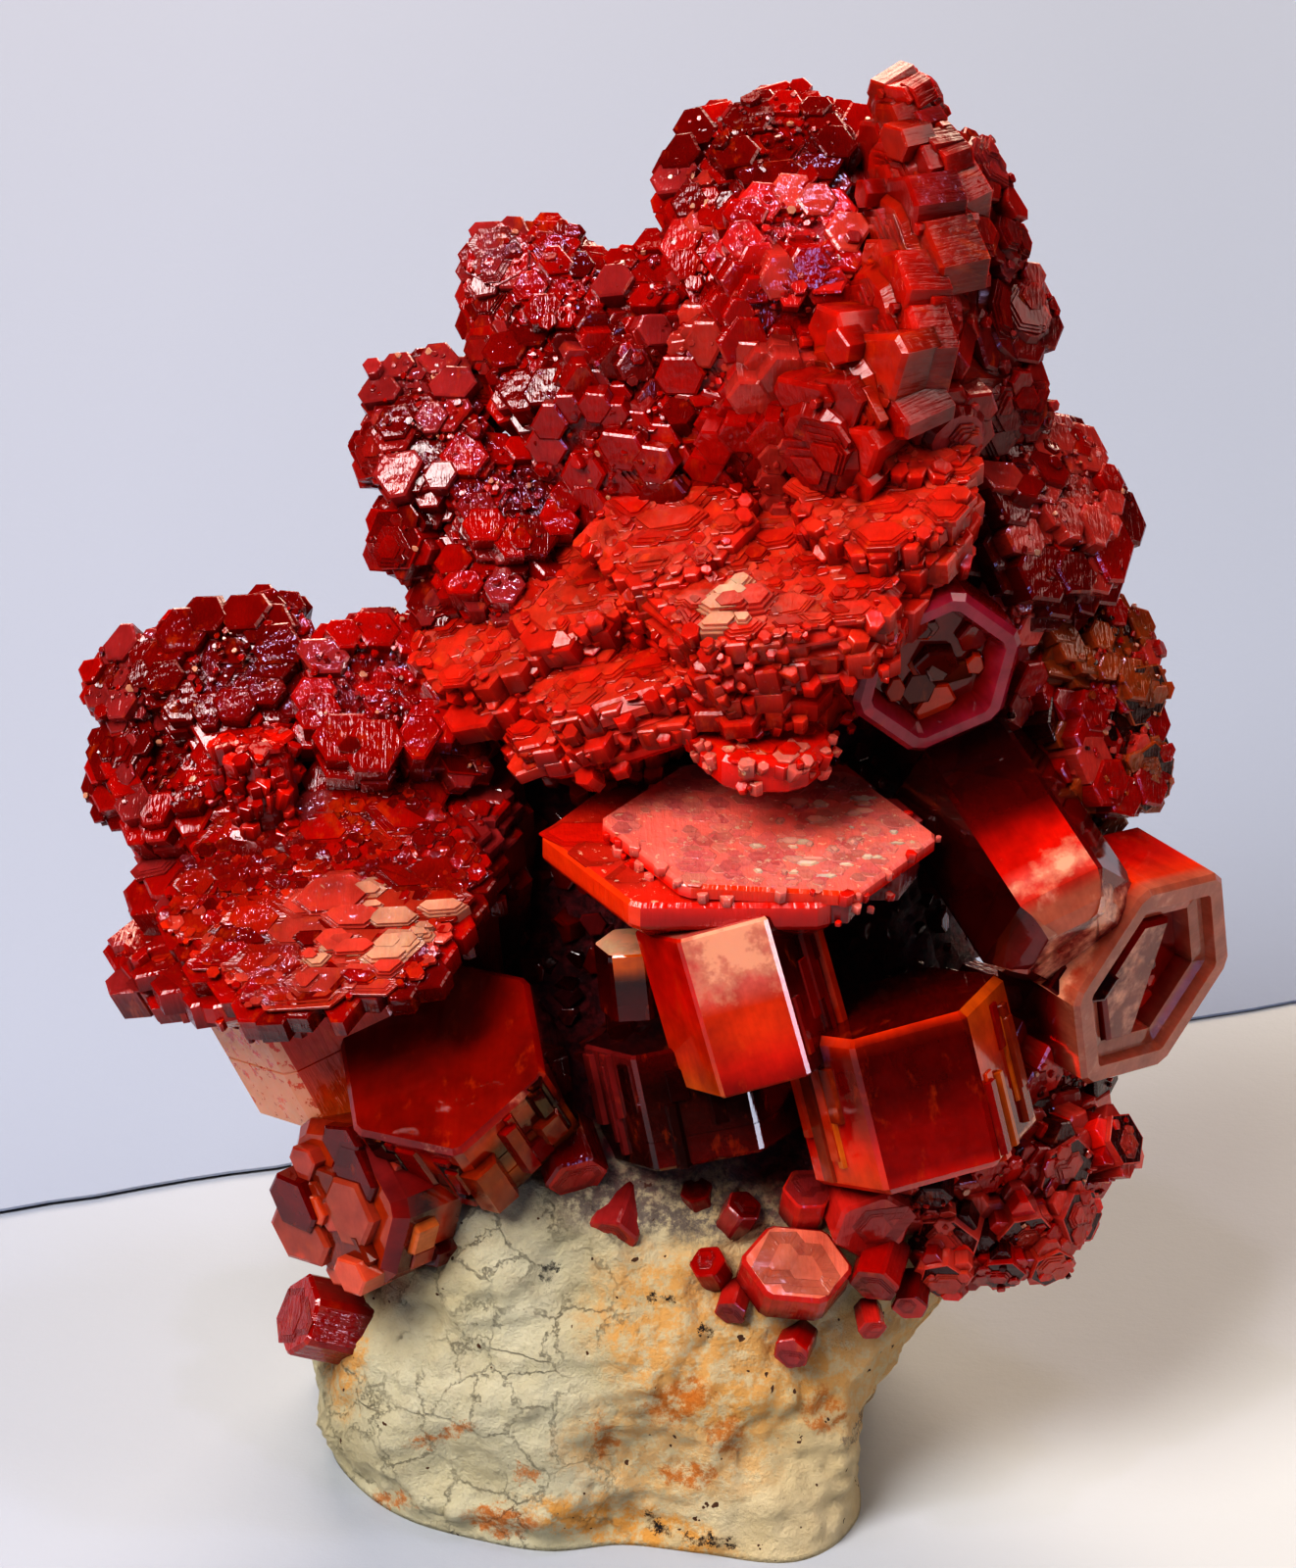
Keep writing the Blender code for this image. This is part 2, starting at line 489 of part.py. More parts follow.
def add_rock(parts, crystals):
    """The matrix: a loft through the level slices, with a socket cut for every crystal."""
    bm = bmesh.new()
    rings = [[bm.verts.new(Vector(p) * MM) for p in ring] for ring in rock_rings()]
    for low, high in zip(rings, rings[1:]):
        for k in range(ROCK_AROUND):
            after = (k + 1) % ROCK_AROUND
            bm.faces.new((low[k], low[after], high[after], high[k]))
    bm.faces.new(list(reversed(rings[0])))
    top = bm.verts.new(Vector(ROCK_TOP) * MM)
    for k in range(ROCK_AROUND):
        bm.faces.new((rings[-1][k], rings[-1][(k + 1) % ROCK_AROUND], top))
    mesh = bpy.data.meshes.new("matrix")
    bm.to_mesh(mesh)
    bm.free()
    rock = bpy.data.objects.new("matrix", mesh)
    parts.objects.link(rock)
    rock.data.materials.append(finish(FINISH_OF["matrix"]))
    sockets = new_collection("matrix_sockets")
    for index, piece in enumerate(crystals):
        helper(f"matrix_socket_{index}", hexagon_mesh("socket", *piece, grow=GAP), sockets)
    boolean(rock, "DIFFERENCE", sockets)
    settle(rock)


def main():
    clear_scene()
    parts = new_collection("vanadinite_on_matrix")
    grown = []
    for name in CRYSTALS:
        grown += grow_cluster(name, parts, grown)
    add_rock(parts, grown)


main()
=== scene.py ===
"""Vanadinite on matrix: dark red six-sided crystals on a pale clay rock.

Everything is worked out in millimetres in the leaning face frame that the crystals grew in:
across to the right, up along the lean, and out towards the front. face_to_world turns that into
metres in the world. Every crystal, from the largest tablet to the smallest scale of the crust, is
a stack of six-sided rings, so one function makes them all.
"""

import itertools
import math
from collections import namedtuple

import bpy
import numpy as np
from mathutils import Matrix, Vector, noise


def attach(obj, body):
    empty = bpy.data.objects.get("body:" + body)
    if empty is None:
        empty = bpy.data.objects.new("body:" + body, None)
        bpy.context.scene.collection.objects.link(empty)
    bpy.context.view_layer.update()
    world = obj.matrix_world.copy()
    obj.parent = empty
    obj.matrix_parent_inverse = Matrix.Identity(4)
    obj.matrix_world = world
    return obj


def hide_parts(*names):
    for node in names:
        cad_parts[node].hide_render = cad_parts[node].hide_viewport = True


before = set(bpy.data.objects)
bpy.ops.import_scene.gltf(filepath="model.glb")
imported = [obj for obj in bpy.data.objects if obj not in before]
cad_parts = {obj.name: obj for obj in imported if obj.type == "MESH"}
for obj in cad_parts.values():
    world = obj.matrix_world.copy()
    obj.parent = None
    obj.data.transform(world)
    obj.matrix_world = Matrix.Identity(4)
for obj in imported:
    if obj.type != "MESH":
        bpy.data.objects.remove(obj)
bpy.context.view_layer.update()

MM = 0.001
LEAN = math.radians(25)  # how far the crystals' face leans back
FACE_HEIGHT = 28.8  # mm: how high the middle of the face is above the foot
ACROSS = (1.0, 0.0, 0.0)
UP = (0.0, math.sin(LEAN), math.cos(LEAN))
OUT = (0.0, -math.cos(LEAN), math.sin(LEAN))
FACE = np.array([ACROSS, UP, OUT])
VIEW_DISTANCE = 250.0  # mm from the middle of the face to the camera
LENS = 140.6  # mm

# Body colours, deep to bright: linear red, green and blue, and how milky the surface is.
# The milky share also mixes in a cream that is a painted sheen of reflected light.
GARNET = (0.07, 0.0015, 0.0008, 0.0)
OXBLOOD = (0.24, 0.0025, 0.0008, 0.0)
RUBY = (0.50, 0.0045, 0.001, 0.0)
SCARLET = (0.88, 0.016, 0.003, 0.0)
EMBER = (0.90, 0.060, 0.003, 0.0)
AMBER = (0.88, 0.17, 0.008, 0.0)
ROSE = (0.98, 0.21, 0.155, 0.22)
PEACH = (0.60, 0.055, 0.036, 0.0)
MAUVE = (0.42, 0.036, 0.034, 0.0)
UMBER = (0.06, 0.006, 0.003, 0.0)
BRONZE = (0.42, 0.075, 0.012, 0.0)
# a painted glint: cream steps and scales where a crystal would mirror a bright window
PAINTED_CREAM_GLINT = (0.84, 0.36, 0.22, 0.0)
# a painted reflection: the tan near the tops of the right-hand block and tablet
PAINTED_TAN_REFLECTION = (0.68, 0.20, 0.11, 0.35)
SALMON = (0.74, 0.075, 0.045, 0.0)
GLOSS = (0.76, 0.034, 0.012, 0.2)  # the big tablet's clear plate, seen from above
HOLLOW_RIM = (0.58, 0.040, 0.090, 0.0)

# What each kind of growth is coloured with: a crystal draws one of its list.
FAN_COLOURS = [RUBY, OXBLOOD, MAUVE, RUBY]
FAN_SCALES = [(0.36, 0.006, 0.001, 0.0), RUBY, OXBLOOD, (0.56, 0.020, 0.003, 0.0)]
FAN_GLINTS = [(0.74, 0.034, 0.006, 0.0), RUBY, (0.70, 0.03, 0.008, 0.0), SALMON, RUBY]
DARK_COLOURS = [RUBY, (0.38, 0.014, 0.010, 0.0), OXBLOOD, RUBY, MAUVE]
CROWN_COLOURS = [RUBY, PEACH, (0.70, 0.022, 0.016, 0.0), SALMON, RUBY]
CREST_COLOURS = [(0.40, 0.007, 0.001, 0.0), (0.44, 0.018, 0.002, 0.0), (0.52, 0.012, 0.002, 0.0)]
CREST_SHADED = [OXBLOOD, (0.34, 0.008, 0.003, 0.0), OXBLOOD, MAUVE]
RIGHT_COLOURS = [OXBLOOD, RUBY, OXBLOOD, PEACH]
EDGE_COLOURS = [RUBY, BRONZE, RUBY, PEACH, BRONZE]
CORE_COLOURS = [(0.80, 0.034, 0.012, 0.0), (0.80, 0.050, 0.018, 0.0), (0.66, 0.018, 0.005, 0.0)]
CORE_SCALES = [(0.82, 0.040, 0.018, 0.0), (0.84, 0.085, 0.045, 0.0), (0.74, 0.024, 0.008, 0.0)]
SMALL_COLOURS = [RUBY, (0.60, 0.03, 0.02, 0.0), MAUVE, OXBLOOD]
CRUST_COLOURS = [GARNET, (0.12, 0.008, 0.014, 0.0), OXBLOOD, (0.20, 0.012, 0.014, 0.0)]
DRUSE_COLOURS = [RUBY, (0.66, 0.05, 0.024, 0.0), SCARLET, RUBY, PEACH, SALMON]

# The small crystals that stand on the clay face, each a piece of its own.
SINGLE_CRYSTALS = (
    "left_side_crystal", "leaning_crystal", "slab_crystal", "round_crystal", "pink_prism",
    "twin_crystal", "square_crystal", "pair_crystal", "low_crystal", "dot_crystal",
    "dusky_crystal", "corner_small_crystal",
)

# The seed of each piece's random draws.
SEEDS = {
    "big_tablet": 7, "lens_crystal": 8, "hollow_tablet": 9, "right_tablet": 10,
    "corner_crystal": 11, "lower_left_block": 12, "left_fan": 19, "front_prism": 21,
    "wide_prism": 22, "dark_prism": 23, "crown": 31, "upper_left_finger": 32,
    "middle_finger": 33, "crest": 34, "upper_right_rosette": 35, "right_edge_rosette": 36,
    "druse": 37, "back_druse": 38, "spine_crust": 39, "central_mass": 41,
}
FIRST_SINGLE_SEED = 60
SEEDS.update(zip(SINGLE_CRYSTALS, itertools.count(FIRST_SINGLE_SEED)))

END_OFFSET = 40.0  # mm between the maps of a crystal's walls and of its end faces
WORN_SHARE = 0.10  # the worn top edge of a small crystal, as a share of its radius
FOOT_SHADE = np.array([0.35, 0.3, 0.3, 1.0])  # painted shade: how much darker a small crystal's foot is
SOFT_FOOT_SHADE = np.array([0.8, 0.75, 0.75, 1.0])  # the same painted shade, softer, for thin scales and steps
CROWN_TOP = 22.5  # mm up the face: the crown is darker above it
CREST_RIDGE = 11.2  # mm across: the crest is orange-red to its left and dusky to its right
SMALL_ROSETTE = 1.6  # the radius under which a rosette is one crystal with a few others beside it
LARGE_ROSETTE = 2.3  # the radius over which a rosette's wreath has two crystals on each side
FAN_RIM_SIDES = (1, 2, 3)  # the far sides of the fan's plates, which carry crystals
UNEVEN = (0.72, 1.14)  # how far from the middle a small crystal's sides stand, as shares
FAN_KNOB = 10  # which of the fan's other crystals is a plain one instead of a rosette
TERRACE_SHARE = 0.72  # how much of its full width the fan's second terrace keeps
CORE_HIGHLIGHT_RADIUS = 6.0  # the radius over which a plate of the core has a painted cream highlight
CORE_HIGHLIGHT_AROUND = (226, 258)  # degrees: where round the plate the painted highlight is
CRUST_FROM = 15.0  # the height above which the rock is crusted with dark grains
CRUST_COUNT = 1900  # small crystals on the spine
ROCK_ROWS, ROCK_COLUMNS = 220, 312  # points of the rock's surface, up and round
SHEET_COLUMNS = 1500  # points along the sheet's torn edge

# Where the crystals stand, node by node, and the crusted slope of the fan: across, up and out in
# mm, radius and height, then the degrees that each leans from straight out, the direction that it
# leans to (0 right, 90 up) and its own turn, and last how much wider than high it is.
Crystal = namedtuple(
    "Crystal", "across up out radius height tip toward turn wide", defaults=(1.0,))
FAN_SLOPE = Crystal(-12.7, -5.6, 2.8, 6.3, 5.0, 37, 104, 10, 1.08)
CRYSTALS = {
    "front_prism": [(3.8, -8.1, 5.0, 3.6, 6.8, 76, 106, 12)],
    "big_tablet": [
        (4.8, -2.4, 4.5, 5.6, 1.6, 60, 86, 58, 1.22),
        (3.2, -3.5, 3.2, 6.5, 3.6, 60, 90, 0, 1.17),
        (3.6, -2.4, 0.6, 4.6, 4.0, 62, 92, 10),
    ],
    "lens_crystal": [(4.6, 1.4, 6.2, 2.6, 1.5, 58, 88, 0, 1.12)],
    "small_prism": [(-0.6, -7.7, 3.0, 1.5, 3.0, 66, 96, 0)],
    "wide_prism": [(10.5, -11.9, 3.4, 4.7, 6.6, 77, 104, 18)],
    "dark_prism": [(2.1, -12.1, 0.6, 4.4, 4.9, 79, 102, 8)],
    "hollow_tablet": [(11.2, 5.0, 5.2, 3.8, 2.6, 36, 300, 22)],
    "right_block": [(14.9, -3.0, 2.4, 3.6, 9.6, 62, 302, 18)],
    "right_tablet": [(19.0, -7.0, -0.4, 5.2, 4.6, 56, 328, 56)],
    "central_mass": [
        (5.4, 8.2, 5.6, 6.5, 3.4, 50, 102, 10),
        (9.5, 10.5, 6.6, 3.7, 3.4, 46, 100, 20),
        (1.1, 9.4, 4.6, 3.5, 3.0, 48, 110, 6),
        (-0.8, 4.3, 3.6, 4.7, 3.2, 56, 112, 14),
        (-5.9, 5.1, 2.0, 3.2, 3.6, 50, 118, 24),
        (4.1, 4.7, 6.0, 3.2, 2.8, 48, 98, 8),
        (-2.8, 2.4, 3.4, 3.0, 2.0, 60, 108, 4),
        (10.5, 12.9, 5.8, 2.3, 3.4, 44, 80, 8),
        (-2.4, 6.9, 3.2, 2.8, 3.4, 46, 120, 16),
        (4.0, 6.0, 1.8, 5.4, 5.0, 40, 95, 20),
        (-2.0, 3.6, 0.6, 3.6, 5.0, 40, 100, 6),
    ],
    "crest": [
        (10.4, 27.2, 4.6, 1.2, 2.4, 62, 215, 20),
        (10.9, 24.4, 5.0, 2.4, 2.8, 66, 200, 5),
        (11.0, 21.5, 5.6, 2.8, 3.2, 70, 190, 15),
        (10.1, 18.3, 6.4, 2.9, 3.4, 66, 185, 0),
        (8.9, 15.6, 7.0, 3.0, 3.8, 60, 200, 12),
        (7.8, 14.0, 7.2, 2.3, 4.0, 52, 215, 24),
        (11.0, 17.7, 7.2, 1.4, 3.6, 40, 250, 4),
        (12.0, 22.1, 5.4, 1.7, 2.6, 52, 20, 8),
        (12.9, 24.6, 4.0, 1.3, 2.2, 56, 30, 18),
        (13.6, 21.7, 3.6, 1.3, 2.6, 60, 15, 0),
        (11.4, 14.6, 6.2, 1.7, 3.6, 48, 310, 16),
        (13.4, 18.5, 3.4, 2.4, 3.0, 58, 10, 10),
        (14.6, 18.8, 3.0, 1.6, 2.4, 40, 20, 6),
        (14.5, 15.3, 2.8, 1.3, 2.8, 42, 350, 22),
        (13.0, 15.0, 3.4, 2.0, 3.4, 50, 330, 0),
        (10.6, 17.0, 3.4, 3.4, 5.4, 40, 180, 12),
        (11.4, 21.6, 2.8, 2.4, 5.0, 44, 170, 4),
    ],
    "crown": [
        (3.5, 24.8, 2.0, 2.7, 2.2, 32, 130, 0),
        (5.4, 26.9, 1.6, 1.3, 2.2, 38, 95, 20),
        (5.5, 25.1, 2.6, 2.5, 3.0, 34, 95, 8),
        (7.4, 25.6, 1.6, 2.0, 2.0, 34, 60, 24),
        (2.0, 23.1, 1.8, 1.4, 2.2, 40, 170, 6),
        (3.3, 21.3, 3.0, 2.1, 3.0, 30, 140, 14),
        (5.7, 21.1, 4.6, 2.6, 3.4, 24, 80, 20),
        (5.4, 18.8, 5.2, 2.7, 3.2, 24, 300, 6),
        (3.2, 16.5, 4.6, 2.1, 3.0, 30, 230, 12),
        (5.7, 15.7, 5.4, 2.3, 3.2, 36, 280, 26),
        (4.7, 13.5, 4.6, 2.6, 3.6, 46, 255, 4),
        (6.9, 13.3, 5.0, 2.4, 4.0, 44, 265, 18),
        (4.8, 22.4, 1.4, 3.0, 4.4, 26, 90, 0),
        (4.8, 17.4, 2.4, 3.2, 5.0, 20, 260, 14),
    ],
    "upper_left_finger": [
        (-5.9, 21.2, 0.8, 1.5, 1.8, 26, 120, 28),
        (-6.1, 19.5, 0.6, 1.4, 1.8, 30, 170, 4),
        (-4.0, 21.5, 0.6, 1.2, 2.2, 30, 80, 0),
        (-2.5, 20.6, 0.2, 1.1, 2.2, 42, 50, 10),
        (-3.5, 19.3, 1.4, 1.7, 3.4, 24, 90, 14),
        (-6.1, 17.8, 1.0, 1.0, 2.2, 36, 190, 8),
        (-4.0, 16.5, 2.0, 2.0, 3.0, 30, 110, 20),
        (-1.6, 16.4, 2.6, 2.2, 3.6, 34, 300, 6),
        (-2.0, 14.3, 2.6, 2.4, 3.4, 34, 250, 12),
        (0.2, 19.9, 1.6, 1.8, 3.2, 34, 95, 2),
        (0.1, 17.0, 3.0, 1.7, 3.0, 30, 350, 22),
        (-0.4, 12.6, 3.0, 2.3, 3.4, 36, 230, 8),
        (1.5, 15.0, 3.0, 2.0, 4.0, 40, 120, 8),
        (-4.0, 18.4, 0.0, 1.8, 2.6, 30, 100, 10),
        (-1.4, 16.8, 0.6, 2.6, 3.6, 24, 100, 24),
    ],
    "middle_finger": [
        (-9.2, 15.5, 0.6, 2.1, 2.2, 32, 110, 28),
        (-10.4, 13.5, 0.4, 1.4, 2.2, 36, 160, 6),
        (-7.1, 15.8, 0.0, 1.4, 2.2, 40, 60, 0),
        (-8.6, 13.2, 1.2, 2.1, 3.0, 28, 120, 18),
        (-5.4, 11.1, 1.6, 2.5, 3.6, 26, 80, 10),
        (-9.7, 10.0, 1.2, 1.4, 2.4, 34, 190, 2),
        (-6.4, 8.4, 2.0, 1.8, 2.6, 36, 100, 26),
        (-8.3, 7.2, 1.0, 1.2, 2.2, 38, 140, 14),
        (-3.4, 8.6, 1.0, 2.0, 3.6, 44, 60, 4),
        (-4.0, 6.4, 1.4, 2.5, 4.0, 44, 95, 20),
        (-7.6, 10.8, -0.2, 2.8, 3.2, 26, 120, 6),
        (-5.6, 7.8, -0.6, 2.6, 4.4, 36, 100, 16),
    ],
    "left_fan": [
        (-13.4, -5.6, 0.0, 8.2, 1.9, 63, 105, 8),
        (-13.5, -4.2, 0.6, 6.3, 2.4, 60, 104, 22),
        (-19.0, -7.3, -0.3, 2.6, 2.0, 50, 118, 10),
        (-18.3, -3.6, -0.4, 2.5, 2.2, 50, 120, 0),
        (-12.8, -8.9, -1.6, 5.2, 6.0, 66, 118, 24),
        (-17.1, 4.4, 0.2, 3.0, 2.6, 30, 110, 4),
        (-15.6, 6.2, -0.6, 1.5, 2.4, 30, 95, 18),
        (-19.1, 5.3, -0.8, 1.4, 2.0, 34, 120, 0),
        (-21.2, 4.1, -1.2, 1.7, 2.2, 36, 140, 12),
        (-21.2, 1.1, -1.0, 1.5, 2.4, 38, 150, 0),
        (-21.3, -0.2, -1.4, 1.4, 2.4, 40, 165, 20),
        (-19.0, 0.4, -0.4, 2.8, 3.0, 35, 125, 10),
        (-10.8, 4.4, -1.4, 2.5, 2.0, 28, 85, 10),
        (-11.0, 3.0, 0.8, 3.3, 4.2, 28, 80, 16),
        (-7.9, 1.2, 1.2, 1.4, 2.0, 34, 40, 0),
        (-15.6, 0.0, 2.2, 1.7, 4.0, 62, 96, 10),
        (-8.8, -1.6, 0.6, 2.8, 2.4, 52, 90, 5),
        (-14.6, 0.4, -1.6, 5.0, 4.0, 40, 108, 12),
        (-10.0, -2.4, -1.8, 4.4, 5.6, 50, 100, 26),
    ],
    "upper_right_rosette": [
        (15.8, 10.8, 1.0, 3.7, 3.6, 42, 20, 12),
        (16.5, 11.6, 1.2, 2.4, 3.0, 44, 35, 0),
        (14.2, 12.3, 2.4, 1.9, 3.2, 46, 60, 20),
        (17.0, 9.3, 0.8, 1.9, 2.6, 40, 350, 6),
        (15.1, 8.0, 0.6, 2.0, 3.6, 46, 340, 24),
        (12.8, 10.2, -0.6, 3.4, 6.0, 60, 20, 8),
    ],
    "right_edge_rosette": [
        (17.1, 6.4, -1.4, 2.5, 3.0, 48, 30, 8),
        (18.6, 5.3, -1.8, 1.9, 3.2, 46, 20, 20),
        (19.6, 3.8, -2.0, 1.4, 2.6, 44, 350, 4),
        (15.9, 3.4, -1.0, 2.5, 2.8, 40, 330, 0),
        (18.3, 1.6, -1.6, 2.7, 3.6, 46, 10, 14),
        (19.8, 0.5, -2.0, 1.5, 2.6, 44, 345, 26),
        (17.3, 0.0, -1.8, 2.0, 4.0, 50, 300, 2),
        (14.6, 3.2, -3.0, 3.2, 6.6, 64, 10, 20),
    ],
    "lower_left_block": [(-7.6, -12.1, 2.2, 4.7, 5.2, 34, 120, 44)],
    "corner_crystal": [(-11.1, -16.5, 0.6, 3.9, 4.0, 48, 200, 4)],
    "left_side_crystal": [(-13.0, -22.2, -3.0, 1.8, 3.4, 62, 165, 14)],
    "leaning_crystal": [
        (8.8, -17.1, 2.0, 1.8, 2.6, 42, 290, 20),
        (9.4, -19.5, 1.8, 1.1, 2.2, 50, 250, 4),
    ],
    "slab_crystal": [(5.9, -19.8, 2.2, 2.0, 1.7, 36, 75, 56, 1.18)],
    "round_crystal": [(6.4, -16.9, 1.6, 1.1, 1.8, 40, 80, 4)],
    "pink_prism": [(3.6, -17.6, 1.4, 0.8, 1.8, 46, 60, 10)],
    "twin_crystal": [
        (2.6, -19.7, 1.6, 0.8, 1.4, 40, 120, 0),
        (3.5, -20.9, 1.6, 0.7, 1.6, 44, 250, 12),
    ],
    "square_crystal": [(2.1, -16.9, 0.9, 0.7, 1.4, 44, 110, 20)],
    "pair_crystal": [(10.7, -20.7, 1.0, 0.8, 1.6, 46, 260, 10)],
    "low_crystal": [(9.0, -21.7, 1.2, 0.6, 1.4, 42, 280, 0)],
    "dot_crystal": [(6.0, -22.7, 1.4, 0.8, 1.6, 34, 240, 18)],
    "dusky_crystal": [(-1.2, -17.6, 0.8, 1.2, 2.4, 50, 250, 8)],
    "corner_small_crystal": [(-3.2, -15.0, 1.4, 1.4, 2.6, 54, 290, 12)],
    "druse": [
        (13.6, -15.7, -1.0, 2.5, 4.4, 50, 300, 10),
        (18.6, -14.9, -1.6, 1.2, 2.8, 52, 20, 8),
        (16.1, -15.2, -0.6, 1.5, 3.4, 46, 330, 20),
        (15.0, -17.4, 0.2, 1.2, 2.8, 50, 290, 4),
        (12.5, -17.6, 0.4, 1.4, 3.0, 48, 250, 14),
        (16.8, -17.5, -0.6, 1.2, 2.8, 44, 350, 0),
        (16.1, -19.1, -0.4, 1.0, 2.2, 48, 300, 22),
        (14.4, -19.2, 0.0, 1.0, 2.2, 52, 270, 6),
        (12.1, -19.4, 0.6, 1.0, 2.4, 44, 260, 18),
        (10.7, -15.5, 1.2, 1.8, 4.0, 56, 260, 2),
        (15.6, -15.6, -2.6, 3.0, 4.4, 50, 330, 6),
        (14.0, -18.0, -1.4, 2.2, 3.4, 40, 290, 16),
        (15.4, -12.2, -3.2, 3.4, 5.0, 56, 330, 20),
    ],
    "back_druse": [
        (3.6, 17.4, -3.4, 2.2, 4.4, 116, 70, 8),
        (0.6, 14.6, -4.8, 2.0, 4.0, 122, 140, 20),
        (5.6, 14.2, -5.4, 2.4, 4.6, 124, 30, 14),
        (2.4, 11.6, -6.6, 2.9, 4.8, 128, 96, 2),
        (-1.4, 9.4, -6.2, 2.0, 4.2, 126, 160, 24),
        (6.8, 9.6, -6.8, 2.2, 4.4, 126, 20, 10),
        (3.2, 7.6, -8.4, 2.4, 4.2, 132, 280, 18),
        (0.0, 6.0, -8.2, 1.8, 3.8, 134, 210, 6),
    ],
}

# The rock in level slices: height, middle x and y, then the distance from the middle to the
# surface every 30 degrees, counterclockwise from +X.
ROCK_SLICES = [
    (0.0, -1, -1, (9.5, 11.5, 12.5, 13.0, 13.0, 12.5, 12.3, 13.2, 12.4, 11.0, 14.2, 11.5)),
    (4.0, -1, -1, (11.5, 12.5, 13.0, 13.0, 13.0, 12.8, 12.4, 13.2, 12.2, 10.8, 12.5, 12.0)),
    (8.0, -1, -1, (14.0, 13.5, 13.0, 12.5, 12.5, 12.3, 11.8, 12.0, 11.5, 10.3, 11.5, 13.2)),
    (11.0, -1, -1, (15.0, 14.0, 12.5, 12.0, 12.0, 11.8, 11.4, 11.2, 10.2, 8.8, 10.3, 13.5)),
    (14.0, 0, 0, (14.0, 13.5, 12.0, 11.5, 11.3, 11.4, 11.5, 10.8, 9.2, 8.1, 9.3, 12.2)),
    (16.5, 0, 1.5, (13.5, 12.5, 11.5, 10.0, 10.3, 10.6, 10.8, 10.0, 8.2, 7.2, 8.4, 11.4)),
    (19.0, 0, 3, (13.0, 12.0, 10.5, 9.0, 9.3, 9.8, 10.2, 9.0, 6.8, 5.5, 7.0, 10.6)),
    (22.0, 0, 4.5, (12.6, 11.0, 9.5, 8.0, 8.4, 9.2, 9.8, 8.0, 5.8, 4.8, 6.2, 10.0)),
    (28.0, 1, 6, (11.5, 9.5, 8.0, 7.0, 7.2, 7.8, 8.0, 6.5, 4.8, 4.2, 5.6, 9.0)),
    (34.5, 2, 6.5, (10.0, 8.2, 6.5, 5.5, 4.6, 4.0, 4.6, 5.2, 4.9, 4.7, 5.6, 8.0)),
    (40.0, 3, 7.5, (8.0, 7.0, 5.5, 4.6, 4.0, 3.4, 3.6, 4.0, 4.0, 3.8, 4.8, 6.8)),
    (45.0, 4, 9, (6.4, 5.5, 4.4, 3.8, 3.4, 3.0, 3.2, 3.2, 3.0, 3.0, 3.6, 5.0)),
    (49.0, 5, 9.5, (4.0, 3.6, 3.0, 2.6, 2.6, 2.4, 2.6, 2.4, 2.0, 2.0, 2.4, 3.4)),
]
ROCK_TOP = (5.2, 9.8, 50.6)
ROCK_AROUND = 24  # directions round the plain solid
ROCK_LEVELS = 18  # levels of the plain solid
ROCK_LUMPS = ((0.16, 0.9), (0.42, 0.35))  # (waves per mm, height in mm)

CLAY = (0.74, 0.68, 0.47, 1)
CLAY_SHADE = (0.62, 0.54, 0.33, 1)
CLAY_DUST = (0.46, 0.38, 0.25, 1)
CLAY_WARM = (0.84, 0.54, 0.20, 1)
OCHRE = (0.80, 0.38, 0.07, 1)
RUST = (0.62, 0.19, 0.018, 1)
GREY = (0.17, 0.13, 0.11, 1)
BLACK = (0.015, 0.012, 0.012, 1)

STAIN_RAGGED = 2.6  # mm: how far apart the stains' edges are torn, by a noise from 0 to 1

# Stains on the rock's face, and one band of painted shade: colour, middle across and up in mm,
# half width and half height, turn in degrees, and strength.
ROCK_STAINS = [
    # painted shade on the clay under the prisms
    (GREY, 2.0, -16.2, 7.0, 2.2, 0, 0.9),
    (OCHRE, 2.8, -22.6, 5.2, 3.4, -20, 0.75),
    (OCHRE, 1.0, -27.0, 4.4, 2.4, 0, 0.5),
    (OCHRE, 10.0, -24.0, 3.4, 3.0, 30, 0.5),
    (OCHRE, -0.8, -30.4, 4.2, 1.0, -12, 0.9),
    (OCHRE, -12.6, -22.4, 1.0, 3.6, 0, 0.8),
    (OCHRE, 13.4, -21.2, 1.2, 2.4, -30, 0.9),
    (RUST, 1.2, -25.0, 1.4, 0.9, 20, 0.9),
    (RUST, 7.2, -25.6, 0.9, 0.8, 0, 0.8),
    (RUST, 1.7, -28.2, 1.2, 0.5, 0, 0.9),
    (RUST, -6.0, -30.1, 1.4, 0.6, 0, 0.9),
    (RUST, -5.0, -28.1, 0.5, 0.4, 0, 0.8),
    (RUST, -8.4, -26.6, 1.5, 0.25, 25, 0.8),
    (RUST, -1.9, -26.5, 0.5, 0.8, 0, 0.8),
    (RUST, 3.2, -26.4, 0.8, 0.7, 0, 0.8),
    (RUST, 13.6, -22.0, 0.7, 1.1, 0, 0.9),
    (RUST, -10.6, -29.6, 1.0, 0.3, 0, 0.8),
    (GREY, 9.4, -26.0, 1.9, 0.22, 40, 0.8),
    (GREY, 2.8, -20.0, 1.0, 0.8, 0, 0.6),
    (BLACK, -4.0, -19.9, 0.25, 0.5, 10, 0.9),
    (BLACK, 0.3, -30.4, 0.8, 0.25, -50, 1.0),
    (BLACK, 2.6, -30.9, 1.2, 0.14, 0, 1.0),
    (BLACK, 0.9, -20.9, 0.22, 0.16, 0, 1.0),
    (BLACK, 0.1, -20.8, 0.16, 0.2, 0, 1.0),
    (BLACK, 2.4, -22.2, 0.2, 0.22, 0, 1.0),
    (BLACK, 12.4, -21.2, 0.3, 0.8, 10, 1.0),
]


def draws(name):
    """The random draws of a piece, the same in each run."""
    return np.random.default_rng(SEEDS[name])


def face_to_world(points):
    """Millimetres across, up and out of the face, as metres in the world."""
    return (points @ FACE + (0.0, 0.0, FACE_HEIGHT)) * MM


